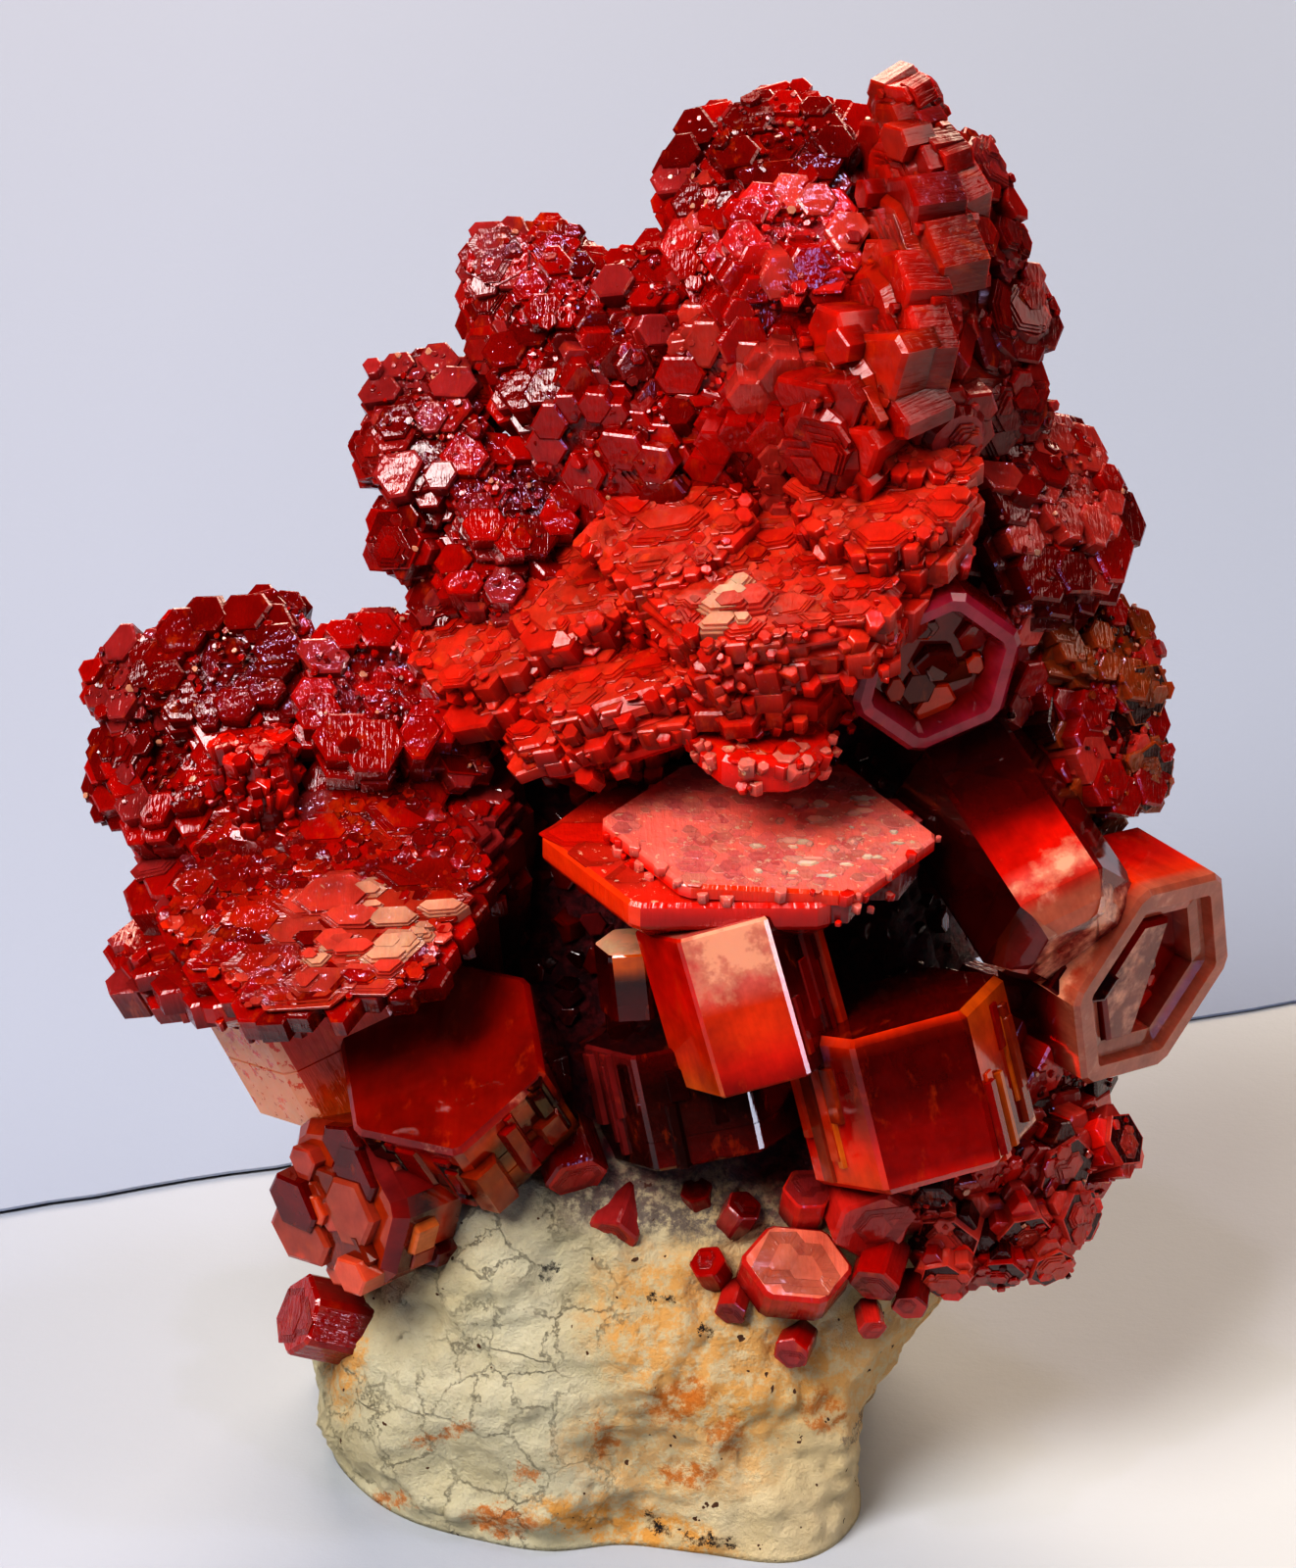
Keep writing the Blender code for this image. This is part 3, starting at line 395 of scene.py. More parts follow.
def leaning_axes(tip, toward):
    """Rows x, y, z of frames whose z leans `tip` degrees from straight out towards `toward`.

    With the axis (a, b, c), the shortest turn takes x to (1 - a*a/(1+c), -a*b/(1+c), -a).
    """
    tip, toward = np.radians(tip), np.radians(toward)
    a, b, c = np.sin(tip) * np.cos(toward), np.sin(tip) * np.sin(toward), np.cos(tip)
    share = 1 / (1 + c)
    x = np.stack([1 - a * a * share, -a * b * share, -a], -1)
    y = np.stack([-a * b * share, 1 - b * b * share, -b], -1)
    return np.stack([x, y, np.stack([a, b, c], -1)], -2)


def hexagon(radius, turn, wide=1.0):
    """Six corners at `radius`, the first turned by `turn` degrees, stretched along x by wide."""
    radius, turn, wide = np.broadcast_arrays(radius, turn, wide)
    angle = np.radians(turn)[..., None] + np.arange(6) * math.pi / 3
    x = radius[..., None] * np.cos(angle) * wide[..., None]
    return np.stack([x, radius[..., None] * np.sin(angle)], -1)


def sides_of(corners):
    """Each side's outward normal, its run turned a quarter, and its distance from the middle."""
    run = np.roll(corners, -1, axis=-2) - corners
    normals = np.stack([run[..., 1], -run[..., 0]], -1)
    normals = normals / np.linalg.norm(normals, axis=-1, keepdims=True)
    return normals, (normals * corners).sum(-1)


def corners_from(normals, distances):
    """Corner i is where the line of side i - 1 meets the line of side i."""
    before, away = np.roll(normals, 1, axis=-2), np.roll(distances, 1, axis=-1)
    cross = before[..., 0] * normals[..., 1] - before[..., 1] * normals[..., 0]
    x = (away * normals[..., 1] - distances * before[..., 1]) / cross
    y = (distances * before[..., 0] - away * normals[..., 0]) / cross
    return np.stack([x, y], -1)


def quads(here, beside):
    """Four-cornered faces between rows of points: here, the neighbours beside, and the row above."""
    return np.stack([here[:-1], beside[:-1], beside[1:], here[1:]], -1)


def bearing(x, y):
    """The direction of (x, y) from the middle, in degrees."""
    return np.degrees(np.arctan2(y, x))


class Growth:
    """Crystals gathered for one piece: their points, faces, surface maps and body colours."""

    def __init__(self):
        self.points, self.corners, self.starts, self.maps, self.zones = [], [], [], [], []
        self.point_count = self.corner_count = 0

    def add(self, points, corners, starts, maps, zones):
        """Puts more crystals in: their own corners and starts count on from those before."""
        self.points.append(points.reshape(-1, 3))
        self.corners.append(corners.reshape(-1) + self.point_count)
        self.starts.append(starts.reshape(-1) + self.corner_count)
        self.maps.append(maps.reshape(-1, 2))
        self.zones.append(zones.reshape(-1, 4))
        self.point_count += len(self.points[-1])
        self.corner_count += len(self.corners[-1])

    def rings(self, axes, middles, corners, insets, levels, zones, ends):
        """Closed stacks of rings with as many sides as there are corners, one for each frame.

        Ring k has each of its sides moved in by insets[k], and stands at levels[k] along the
        axis. zones holds a colour for every side at every ring, ends one for each end face.
        """
        count, ring_count = insets.shape
        sides = corners.shape[1]
        normals, distances = sides_of(corners)
        flat = corners_from(normals[:, None], distances[:, None] - insets[..., None])
        height = np.broadcast_to(levels[..., None, None], (count, ring_count, sides, 1))
        local = np.concatenate([flat, height], -1)
        points = np.einsum("nkic,ncd->nkid", local, axes) + middles[:, None, None]

        here = np.arange(ring_count * sides).reshape(ring_count, sides)
        walls = quads(here, np.roll(here, -1, axis=1))
        face_corners = np.concatenate([here[0, ::-1], walls.reshape(-1), here[-1]])
        sizes = [sides] + [4] * (sides * (ring_count - 1)) + [sides]
        starts = np.cumsum([0] + sizes[:-1])
        which = np.arange(count)[:, None]

        lengths = np.linalg.norm(np.roll(flat[:, 0], -1, axis=1) - flat[:, 0], axis=-1)
        run = np.concatenate([np.zeros((count, 1)), np.cumsum(lengths, axis=1)], 1)
        along = np.stack([run[:, :-1], run[:, 1:], run[:, 1:], run[:, :-1]], -1)
        low, high = levels[:, :-1, None], levels[:, 1:, None]
        wall_shape = (count, ring_count - 1, sides, 4)
        wall_maps = np.stack([
            np.broadcast_to(along[:, None], wall_shape),
            np.broadcast_to(np.stack([low, low, high, high], -1), wall_shape),
        ], -1)
        maps = np.concatenate([
            flat[:, 0, ::-1] + END_OFFSET, wall_maps.reshape(count, -1, 2), flat[:, -1] + END_OFFSET
        ], 1)

        zones = np.broadcast_to(zones, (count, ring_count, sides, 4))
        ends = np.broadcast_to(ends, (count, 2, 4))
        low, high = zones[:, :-1], zones[:, 1:]
        wall_zones = np.stack([low, low, high, high], 3).reshape(count, -1, 4)
        bottom, top = (np.repeat(ends[:, k:k + 1], sides, axis=1) for k in (0, 1))
        self.add(points, face_corners + which * ring_count * sides, starts + which * sum(sizes),
                 maps, np.concatenate([bottom, wall_zones, top], 1))

    def piece(self, name, slot, material):
        """One mesh object in place of the CAD node of the same name."""
        mesh = new_mesh(name, face_to_world(np.concatenate(self.points)),
                        np.concatenate(self.corners), np.concatenate(self.starts))
        layer = mesh.uv_layers.new(name="crystal")
        layer.data.foreach_set("uv", np.concatenate(self.maps).astype(np.float32).ravel())
        zones = mesh.attributes.new("zone", "FLOAT_COLOR", "CORNER")
        zones.data.foreach_set("color", np.concatenate(self.zones).astype(np.float32).ravel())
        return placed(name, mesh, material)


def new_mesh(name, points, corners, starts):
    """A mesh from its points, the point of every face corner, and where each face starts."""
    mesh = bpy.data.meshes.new(name)
    mesh.vertices.add(len(points))
    mesh.vertices.foreach_set("co", points.astype(np.float32).ravel())
    mesh.loops.add(len(corners))
    mesh.loops.foreach_set("vertex_index", corners.astype(np.int32))
    mesh.polygons.add(len(starts))
    mesh.polygons.foreach_set("loop_start", starts.astype(np.int32))
    mesh.update(calc_edges=True)
    mesh.shade_flat()
    return mesh


def placed(node, mesh, material):
    """The mesh as a piece that stands for a CAD node and rides with the specimen."""
    piece = bpy.data.objects.new(node + "_detailed", mesh)
    bpy.context.scene.collection.objects.link(piece)
    mesh.materials.append(material)
    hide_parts(node)
    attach(piece, "root")
    return piece


def small_crystals(growth, rng, axes, middles, radius, height, turn, zone, foot=None):
    """Small prisms with uneven sides and worn top edges; zone is the colour of each one.
    Their feet are darker, a painted shade: foot, or zone times FOOT_SHADE.
    """
    normals, distances = sides_of(hexagon(radius, turn))
    uneven = rng.uniform(*UNEVEN, distances.shape)
    corners = corners_from(normals, distances * uneven)
    worn = WORN_SHARE * radius
    none = np.zeros_like(radius)
    insets = np.stack([none, none, worn], -1)
    levels = np.stack([-height / 2, height / 2 - 0.7 * worn, height / 2], -1)
    foot = zone * FOOT_SHADE if foot is None else foot
    rings = np.stack([foot, zone, zone], 1)[:, :, None]
    shade = rng.uniform(0.85, 1.12, (len(radius), 1, 1))
    ends = np.stack([foot, zone], 1) * np.concatenate([shade, shade, shade, shade * 0 + 1], -1)
    growth.rings(axes, middles, corners, insets, levels, rings, ends)


def on_crystal(base, spots, tip, toward):
    """Frames on a base crystal: spots in its own axes, leaning tip degrees towards `toward`."""
    return leaning_axes(tip, toward) @ base.axes, spots @ base.axes + base.middle


def picked(rng, palette, count, shades=(0.84, 1.14)):
    """One colour of the palette for each crystal, each a little lighter or darker."""
    colours = np.asarray(palette)[rng.integers(0, len(palette), count)]
    shade = rng.uniform(*shades, (count, 1))
    return np.concatenate([colours[:, :3] * shade, colours[:, 3:]], 1)


# A crystal ready to be built on: its middle, its axes, and its six corners in those axes.
Base = namedtuple("Base", "middle axes corners radius height")


def base_of(crystal):
    """A crystal of the lists as (middle, axes, corners, radius, height)."""
    corners = hexagon(crystal.radius, crystal.turn) * (crystal.wide, 1.0)
    middle = np.array([crystal.across, crystal.up, crystal.out])
    axes = leaning_axes(crystal.tip, crystal.toward)
    return Base(middle, axes, corners, crystal.radius, crystal.height)


def bases_of(name):
    """The crystals of a node, each in its place."""
    return [base_of(Crystal(*row)) for row in CRYSTALS[name]]


def finer(profile, step):
    """The same profile with rings added, so that colours can change between its corners."""
    rings = [profile[0]]
    for (inset, level), (next_inset, next_level) in zip(profile, profile[1:]):
        parts = max(1, math.ceil(abs(next_level - level) / step))
        for part in np.arange(1, parts + 1) / parts:
            rings.append((inset + (next_inset - inset) * part, level + (next_level - level) * part))
    return rings


def body(growth, base, profile, sides, ends, chamfer=0.0):
    """One large crystal: profile is (inset, level) for its rings from its foot to its top.

    sides gives each side's colour stops along the height as [(share, colour), ...], under its
    number or under "all"; ends is the colour of the foot and of the top face. A chamfer cuts
    the upright edges, and its strips take the colour of the side before them. Most pieces make
    their sides darker towards the foot: painted shade.
    """
    profile = finer(profile, base.height / 12)
    insets, levels = np.array(profile, float).T[:, None]
    share = (levels[0] + base.height / 2) / base.height
    corners = base.corners
    strips = 1
    if chamfer:
        before, after = np.roll(corners, 1, axis=0), np.roll(corners, -1, axis=0)
        length = np.linalg.norm(after - corners, axis=1, keepdims=True)
        corners = np.stack([corners + (before - corners) * chamfer / np.roll(length, 1, axis=0),
                            corners + (after - corners) * chamfer / length], 1).reshape(-1, 2)
        strips = 2
    zones = np.empty((len(share), len(corners), 4))
    for strip in range(len(corners)):
        side = strip if strips == 1 else ((strip + 1) // 2 - 1) % 6
        at, colours = zip(*sides.get(side, sides["all"]))
        zones[:, strip] = np.stack([np.interp(share, at, c) for c in np.transpose(colours)], -1)
    growth.rings(base.axes[None], base.middle[None], corners[None], insets, levels,
                 zones[None], np.asarray(ends)[None])


def worn_profile(base, edge, bands=(), recess=None):
    """Rings of a crystal with worn edges: bands are (share, inset) grooves along its height.

    recess is (rim, depth): a sunken top face inside a rim.
    """
    half = base.height / 2
    rings = [(edge, -half), (0.0, -half + edge)]
    for share, inset in bands:
        level = -half + share * base.height
        rings += [(0.0, level - 0.5 * inset), (inset, level), (inset, level + inset),
                  (0.0, level + 1.5 * inset)]
    rings += [(0.0, half - edge), (edge, half)]
    if recess:
        rim, depth = recess
        rings += [(rim, half), (rim + 0.4 * depth, half - depth)]
    return rings


def rim_crystals(growth, rng, base, per_side, size, drop, reach, lean, palette, tall=0.8,
                 only=range(6)):
    """Small prisms along the rim: evenly spread on each side, leaning outward.

    drop is how far their tops are below the top face, as a share of the height; reach is how far
    out they stand, as a share of the way to the rim; only names the sides that carry them.
    """
    share = np.arange(per_side) + rng.uniform(0.34, 0.66, (6, per_side))
    share = share[..., None] / per_side
    following = np.roll(base.corners, -1, axis=0)[:, None]
    spots = base.corners[:, None] * (1 - share) + following * share
    spots = spots[list(only)].reshape(-1, 2)
    spots = spots * reach * rng.uniform(0.94, 1.04, (len(spots), 1))
    count = len(spots)
    radius = size * base.radius / per_side * rng.uniform(0.8, 1.2, count)
    height = tall * base.height * rng.uniform(0.7, 1.2, count)
    level = base.height / 2 - drop * base.height - height / 2
    level = level + rng.uniform(-0.06, 0.16, count) * radius
    toward = bearing(*spots.T) + rng.uniform(-14, 14, count)
    axes, middles = on_crystal(base, np.concatenate([spots, level[:, None]], 1),
                               rng.uniform(*lean, count), toward)
    turn = rng.uniform(-6, 6, count)
    small_crystals(growth, rng, axes, middles, radius, height, turn, picked(rng, palette, count))


def spots_on_top(rng, base, count, spread, around=(0, 360)):
    """Random places on the top face, in the base crystal's own axes, and their shares out."""
    out = np.sqrt(rng.uniform(0, 1, count)) * spread
    angle = np.radians(rng.uniform(*around, count))
    normals, distances = sides_of(base.corners)
    ray = np.stack([np.cos(angle), np.sin(angle)], -1)
    to_side = (distances / np.maximum(ray @ normals.T, 1e-6)).min(axis=1)
    flat = ray * (out * to_side)[:, None]
    return np.concatenate([flat, np.full((count, 1), base.height / 2)], 1), out


def top_scales(growth, rng, base, count, size, rise, lean, palette, spread=0.86,
               around=(0, 360), shades=(0.84, 1.14)):
    """Thin overlapping scales on the top face, each a growth step of its own."""
    spots, _ = spots_on_top(rng, base, count, spread, around)
    radius = rng.uniform(*size, count)
    height = 2 * rng.uniform(*rise, count)
    axes, middles = on_crystal(base, spots, rng.uniform(0, lean, count),
                               rng.uniform(0, 360, count))
    turn = rng.uniform(-10, 10, count)
    tone = picked(rng, palette, count, shades)
    small_crystals(growth, rng, axes, middles, radius, height, turn, tone, tone * SOFT_FOOT_SHADE)


def hillocks(growth, rng, base, count, size, step, lean, palette, spread=0.9, wide=(0.8, 1.6),
             around=(0, 360)):
    """Stepped growth hills on the top face: low stacks of uneven six-sided terraces."""
    spots, out = spots_on_top(rng, base, count, spread, around)
    radius = rng.uniform(*size, count) * (1.15 - 0.5 * out)
    corners = hexagon(radius, rng.uniform(-5, 5, count))
    corners = corners * np.stack([rng.uniform(*wide, count), np.ones(count)], -1)[:, None]
    normals, distances = sides_of(corners)
    corners = corners_from(normals, distances * rng.uniform(0.72, 1.2, distances.shape))
    axes, middles = on_crystal(base, spots, rng.uniform(0, lean, count),
                               rng.uniform(0, 360, count))
    rise = rng.uniform(*step, count)
    shelf = radius * rng.uniform(0.10, 0.22, count)
    none = np.zeros(count)
    insets = np.stack([none, none, 0.02 + none, shelf, shelf, 2 * shelf, 2 * shelf], -1)
    levels = np.stack([-3 * rise, 0.8 * rise, rise, rise, 2 * rise, 2 * rise, 3 * rise], -1)
    tone = picked(rng, palette, count)
    rings = np.repeat((tone * SOFT_FOOT_SHADE)[:, None, None], 7, axis=1)
    growth.rings(axes, middles, corners, insets, levels, rings, np.stack([tone, tone], 1))


def milky_with_sheen(colour, share=1.0):
    """A body colour of which `share` of the surface is milky: rougher, less clear, and tinted
    with the skin's cream, a painted sheen of reflected light.
    """
    return (*colour[:3], share)


def plain_sides(colour, foot=GARNET):
    """Every side the same: the foot's darker colour, a painted shade, passing into the body's halfway
    up.
    """
    return {"all": [(0.0, foot), (0.55, colour), (1.0, colour)]}


def on_wall(base, side, share):
    """Spots on the sides of a base crystal, each at its share of the way along one."""
    return base.corners[side] * (1 - share) + base.corners[(side + 1) % 6] * share


def wall_grains(growth, rng, base, count, size, lean, palette):
    """Small crystals all over the walls, sitting half in them and leaning outward."""
    share = rng.uniform(0, 1, (count, 1))
    side = rng.integers(0, 6, count)
    spots = on_wall(base, side, share)
    level = rng.uniform(-0.45, 0.5, (count, 1)) * base.height
    toward = bearing(*spots.T) + rng.uniform(-30, 30, count)
    axes, middles = on_crystal(base, np.concatenate([spots, level], 1),
                               rng.uniform(*lean, count), toward)
    radius = rng.uniform(*size, count)
    height = radius * rng.uniform(1.2, 2.2, count)
    turn = rng.uniform(0, 60, count)
    small_crystals(growth, rng, axes, middles, radius, height, turn, picked(rng, palette, count))


def ribs(growth, rng, base, sides, count, size, palette):
    """Thin crystals grown side by side with a prism: they stand out of its walls as ribs."""
    side = rng.choice(sides, count)
    share = rng.uniform(0.05, 0.95, (count, 1))
    spots = on_wall(base, side, share)
    height = base.height * rng.uniform(0.25, 0.8, count)
    level = rng.uniform(-1, 1, count) * (base.height - height) / 2
    radius = rng.uniform(*size, count)
    middles = np.concatenate([spots * (1 - 0.6 * radius / base.radius)[:, None],
                              level[:, None]], 1) @ base.axes + base.middle
    axes = np.broadcast_to(base.axes, (count, 3, 3))
    turn = bearing(*base.corners[0]) + np.zeros(count)
    tone = picked(rng, palette, count)
    small_crystals(growth, rng, axes, middles, radius, height, turn, tone, tone)


def rosette(growth, rng, base, palette, heart):
    """A tablet whose rim is a wreath of small crystals round a sunken, stepped heart.

    One colour of the palette leads in each rosette; the others only show here and there.
    """
    half = base.height / 2
    small = base.radius < SMALL_ROSETTE
    sunk = (0.05 if small else 0.17) * base.radius
    tone = palette[rng.integers(len(palette))]
    tones = [tone] * 5 + [heart] + list(palette)
    profile = [(0.1 * base.radius, -half), (0.0, -half + 0.1 * base.radius),
               (0.0, half - 1.3 * sunk), (0.05 * base.radius, half - sunk)]
    body(growth, base, profile, plain_sides(tone), (GARNET, heart))
    lowered = base._replace(height=base.height - 2 * sunk)
    area = base.radius**2
    if small:
        hillocks(growth, rng, lowered, count=2, size=(0.4 * base.radius, 0.7 * base.radius),
                 step=(0.03, 0.07), lean=3, palette=[tone], spread=0.3, wide=(0.9, 1.2))
        rim_crystals(growth, rng, base, per_side=1, size=0.50, drop=0.12, reach=0.86,
                     lean=(3, 14), palette=tones)
        rim_crystals(growth, rng, base, per_side=1, size=0.46, drop=0.42, reach=0.98,
                     lean=(6, 20), palette=tones)
    else:
        per_side = 2 if base.radius > LARGE_ROSETTE else 1
        size = 0.72 if per_side == 2 else 0.46
        rim_crystals(growth, rng, base, per_side=per_side, size=size, drop=0.0, reach=0.86,
                     lean=(1, 9), palette=tones)
        rim_crystals(growth, rng, base, per_side=2, size=0.66, drop=0.26, reach=1.0, lean=(3, 14),
                     palette=tones)
        rim_crystals(growth, rng, base, per_side=2, size=0.70, drop=0.52, reach=1.0, lean=(5, 20),
                     palette=tones)
        rim_crystals(growth, rng, lowered, per_side=2, size=0.46, drop=-0.02, reach=0.55,
                     lean=(1, 8), palette=[heart, heart, tone])
        hillocks(growth, rng, lowered, count=int(4 + 2 * base.radius),
                 size=(0.25 * base.radius, 0.5 * base.radius), step=(0.03, 0.08), lean=7,
                 palette=[heart, tone], spread=0.6, wide=(0.8, 1.3))
        wall_grains(growth, rng, base, count=int(2 * base.radius * base.height),
                    size=(0.25, 0.55), lean=(4, 26), palette=tones)
    crowd = 3 if small else 8
    top_scales(growth, rng, lowered, count=int(crowd * area), size=(0.18, 0.6), rise=(0.03, 0.14),
               lean=13, palette=tones, spread=1.0)
    # The cream scales among the smallest ones are painted glints.
    top_scales(growth, rng, base, count=int(crowd * area), size=(0.07, 0.20), rise=(0.02, 0.10),
               lean=32, palette=tones + [PAINTED_CREAM_GLINT], spread=1.05)


def rosettes(name, palette, heart):
    """A finger of rosettes; those above CROWN_TOP are darker."""
    growth, rng = Growth(), draws(name)
    for base in bases_of(name):
        above = base.middle[1] > CROWN_TOP
        rosette(growth, rng, base, DARK_COLOURS if above else palette, heart)
    return growth


def grow_core():
    """The central mass: stacked plates whose edges and faces are crusted with small crystals."""
    growth, rng = Growth(), draws("central_mass")
    palette = CORE_COLOURS
    for base in bases_of("central_mass"):
        edge = 0.10 * base.radius
        bands = [(0.3, 0.06 * base.radius), (0.62, 0.05 * base.radius)]
        body(growth, base, worn_profile(base, edge, bands), plain_sides(palette[0], RUBY),
             (OXBLOOD, palette[1]), chamfer=0.2 * base.radius)
        area = base.radius**2
        per_side = max(2, int(base.radius * 0.9))
        rim_crystals(growth, rng, base, per_side=per_side, size=0.66, drop=0.05, reach=0.86,
                     lean=(2, 10), palette=palette, tall=0.4)
        rim_crystals(growth, rng, base, per_side=per_side, size=0.70, drop=0.42, reach=0.90,
                     lean=(4, 16), palette=palette, tall=0.4)
        wall_grains(growth, rng, base, count=int(8 * base.radius * base.height), size=(0.15, 0.5),
                    lean=(4, 34), palette=palette)
        hillocks(growth, rng, base, count=int(1.4 * area), size=(0.4, 1.3), step=(0.03, 0.09),
                 lean=6, palette=palette)
        top_scales(growth, rng, base, count=int(9 * area), size=(0.12, 0.42), rise=(0.02, 0.12),
                   lean=18, palette=CORE_SCALES, spread=1.0, shades=(0.9, 1.06))
        # A patch of cream steps on the largest plates is a painted highlight.
        if base.radius > CORE_HIGHLIGHT_RADIUS:
            hillocks(growth, rng, base, count=10, size=(0.5, 1.3), step=(0.12, 0.18), lean=8,
                     palette=[PAINTED_CREAM_GLINT, SALMON, PAINTED_CREAM_GLINT], spread=0.86, around=CORE_HIGHLIGHT_AROUND)
    return growth


def grow_crest():
    """A stack of thick smooth plates, with a few blunt crystals grown out of their rims."""
    growth, rng = Growth(), draws("crest")
    for base in bases_of("crest"):
        palette = CREST_COLOURS if base.middle[0] < CREST_RIDGE else CREST_SHADED
        tone, end = picked(rng, palette, 2)
        body(growth, base, worn_profile(base, 0.16 * base.radius), plain_sides(tone, RUBY),
             (RUBY, end), chamfer=0.32 * base.radius)
        rim_crystals(growth, rng, base, per_side=1, size=0.62, drop=0.12, reach=0.86,
                     lean=(0, 12), palette=palette, tall=0.7)
        wall_grains(growth, rng, base, count=int(3 * base.radius), size=(0.35, 0.9), lean=(1, 12),
                    palette=palette)
        wall_grains(growth, rng, base, count=int(14 * base.radius), size=(0.10, 0.30),
                    lean=(2, 26), palette=palette)
        hillocks(growth, rng, base, count=4, size=(0.3 * base.radius, 0.7 * base.radius),
                 step=(0.04, 0.12), lean=8, palette=[end], spread=0.5, wide=(0.9, 1.3))
    return growth


def grow_fan():
    """The large tilted tablet with its terraces, the thick prism under it, and its rosettes."""
    growth, rng = Growth(), draws("left_fan")
    bases = bases_of("left_fan")
    big, terrace, low_tablet, side_tablet, thick, *others = bases
    knob = others.pop(FAN_KNOB)
    body(growth, knob, worn_profile(knob, 0.5), plain_sides(RUBY), (GARNET, RUBY), chamfer=0.6)
    wall_grains(growth, rng, knob, count=90, size=(0.15, 0.45), lean=(2, 30),
                palette=[RUBY, SCARLET, RUBY])
    top_scales(growth, rng, knob, count=30, size=(0.2, 0.6), rise=(0.03, 0.2), lean=18,
               palette=[RUBY, SCARLET])
    terrace = terrace._replace(corners=terrace.corners * TERRACE_SHARE)
    for base in (big, terrace):
        half = base.height / 2
        thin = [(1.3, -half), (0.2, half - 1.0), (0.0, half - 0.8), (0.0, half - 0.1), (0.1, half)]
        body(growth, base, thin, plain_sides(RUBY, OXBLOOD), (GARNET, RUBY), chamfer=0.3)
        rim_crystals(growth, rng, base, per_side=4, size=0.72, drop=0.02, reach=0.93, lean=(0, 6),
                     palette=FAN_COLOURS, tall=0.5, only=FAN_RIM_SIDES)
        wall_grains(growth, rng, base, count=40, size=(0.15, 0.5), lean=(0, 12),
                    palette=FAN_SCALES)
        top_scales(growth, rng, base, count=int(5 * base.radius**2), size=(0.10, 0.5),
                   rise=(0.02, 0.16), lean=12, palette=FAN_SCALES, spread=0.97)
    slope = base_of(FAN_SLOPE)
    body(growth, slope, [(4.0, -2.5), (1.2, 0.9), (0.2, 1.5), (0.0, 2.0), (0.5, 2.5)],
         plain_sides(RUBY, OXBLOOD), (GARNET, RUBY), chamfer=0.5)
    rim_crystals(growth, rng, slope, per_side=5, size=0.75, drop=0.06, reach=0.95, lean=(0, 8),
                 palette=FAN_COLOURS, tall=0.25)
    hillocks(growth, rng, slope, count=60, size=(0.5, 1.8), step=(0.02, 0.07), lean=7,
             palette=FAN_SCALES, spread=0.9, wide=(1.0, 1.9))
    top_scales(growth, rng, slope, count=760, size=(0.10, 0.45), rise=(0.03, 0.18), lean=10,
               palette=FAN_SCALES, spread=1.0, around=(-10, 190))
    # The lower part of the slope is paler: its salmon and cream steps and brighter scales are a
    # painted reflection of the window.
    hillocks(growth, rng, slope, count=18, size=(0.6, 1.8), step=(0.03, 0.07), lean=5,
             palette=[SALMON, (0.62, 0.05, 0.02, 0.0)], spread=0.9, wide=(1.0, 2.2),
             around=(230, 365))
    hillocks(growth, rng, slope, count=26, size=(0.3, 1.1), step=(0.10, 0.14), lean=5,
             palette=[PAINTED_CREAM_GLINT, PAINTED_CREAM_GLINT, SALMON], spread=0.88, wide=(1.0, 2.2), around=(266, 352))
    top_scales(growth, rng, slope, count=380, size=(0.10, 0.45), rise=(0.02, 0.12), lean=12,
               palette=FAN_GLINTS, spread=1.0, around=(190, 350))
    for base in (low_tablet, side_tablet):
        body(growth, base, worn_profile(base, 0.12, [(0.6, 0.08)]), plain_sides(MAUVE, OXBLOOD),
             (GARNET, RUBY), chamfer=0.2)
        rim_crystals(growth, rng, base, per_side=1, size=0.62, drop=0.1, reach=0.8, lean=(0, 6),
                     palette=[MAUVE, RUBY], tall=0.7)
        hillocks(growth, rng, base, count=5, size=(0.5, 1.4), step=(0.02, 0.05), lean=3,
                 palette=[RUBY, MAUVE], spread=0.7)
    # The milky face of the thick prism carries a painted pale sheen.
    body(growth, thick, worn_profile(thick, 0.12, [(0.5, 0.06)]),
         {"all": [(0.0, AMBER), (0.4, EMBER), (0.8, SCARLET), (1.0, RUBY)],
          3: [(0.0, milky_with_sheen(AMBER, 0.8)), (0.5, milky_with_sheen(EMBER, 0.8)), (1.0, milky_with_sheen(SCARLET, 0.5))]},
         (EMBER, RUBY), chamfer=0.4)
    for base in others:
        rosette(growth, rng, base, FAN_COLOURS, OXBLOOD)
    return growth


def prism(name, sides, ends, edge, chamfer, bands=(), ribbing=None):
    """One crystal with worn edges; ribbing is what ribs() takes, for thin crystals beside it."""
    growth = Growth()
    base, = bases_of(name)
    body(growth, base, worn_profile(base, edge, bands), sides, ends, chamfer)
    if ribbing:
        ribs(growth, draws(name), base, **ribbing)
    return growth


def grow_front_prism():
    """A clear prism: amber and bright red below, a painted glow of light let through; milky pink on
    the front of its upper part and on its end, a painted reflection.
    """
    sides = {
        "all": [(0.0, EMBER), (1.0, RUBY)],
        3: [(0.0, AMBER), (0.2, EMBER), (0.6, SCARLET), (1.0, SCARLET)],
        4: [(0.0, RUBY), (0.15, SCARLET), (0.35, EMBER), (0.5, milky_with_sheen(EMBER, 0.3)),
            (0.62, milky_with_sheen(ROSE, 0.8)), (0.8, milky_with_sheen(ROSE, 1.0)), (1.0, milky_with_sheen(ROSE, 1.1))],
        5: [(0.0, OXBLOOD), (0.3, RUBY), (0.7, GARNET), (1.0, OXBLOOD)],
    }
    ribbing = dict(sides=(5,), count=7, size=(0.3, 0.6), palette=[RUBY, OXBLOOD, EMBER])
    return prism("front_prism", sides, (RUBY, milky_with_sheen(ROSE, 0.5)), edge=0.12, chamfer=0.12,
                 ribbing=ribbing)


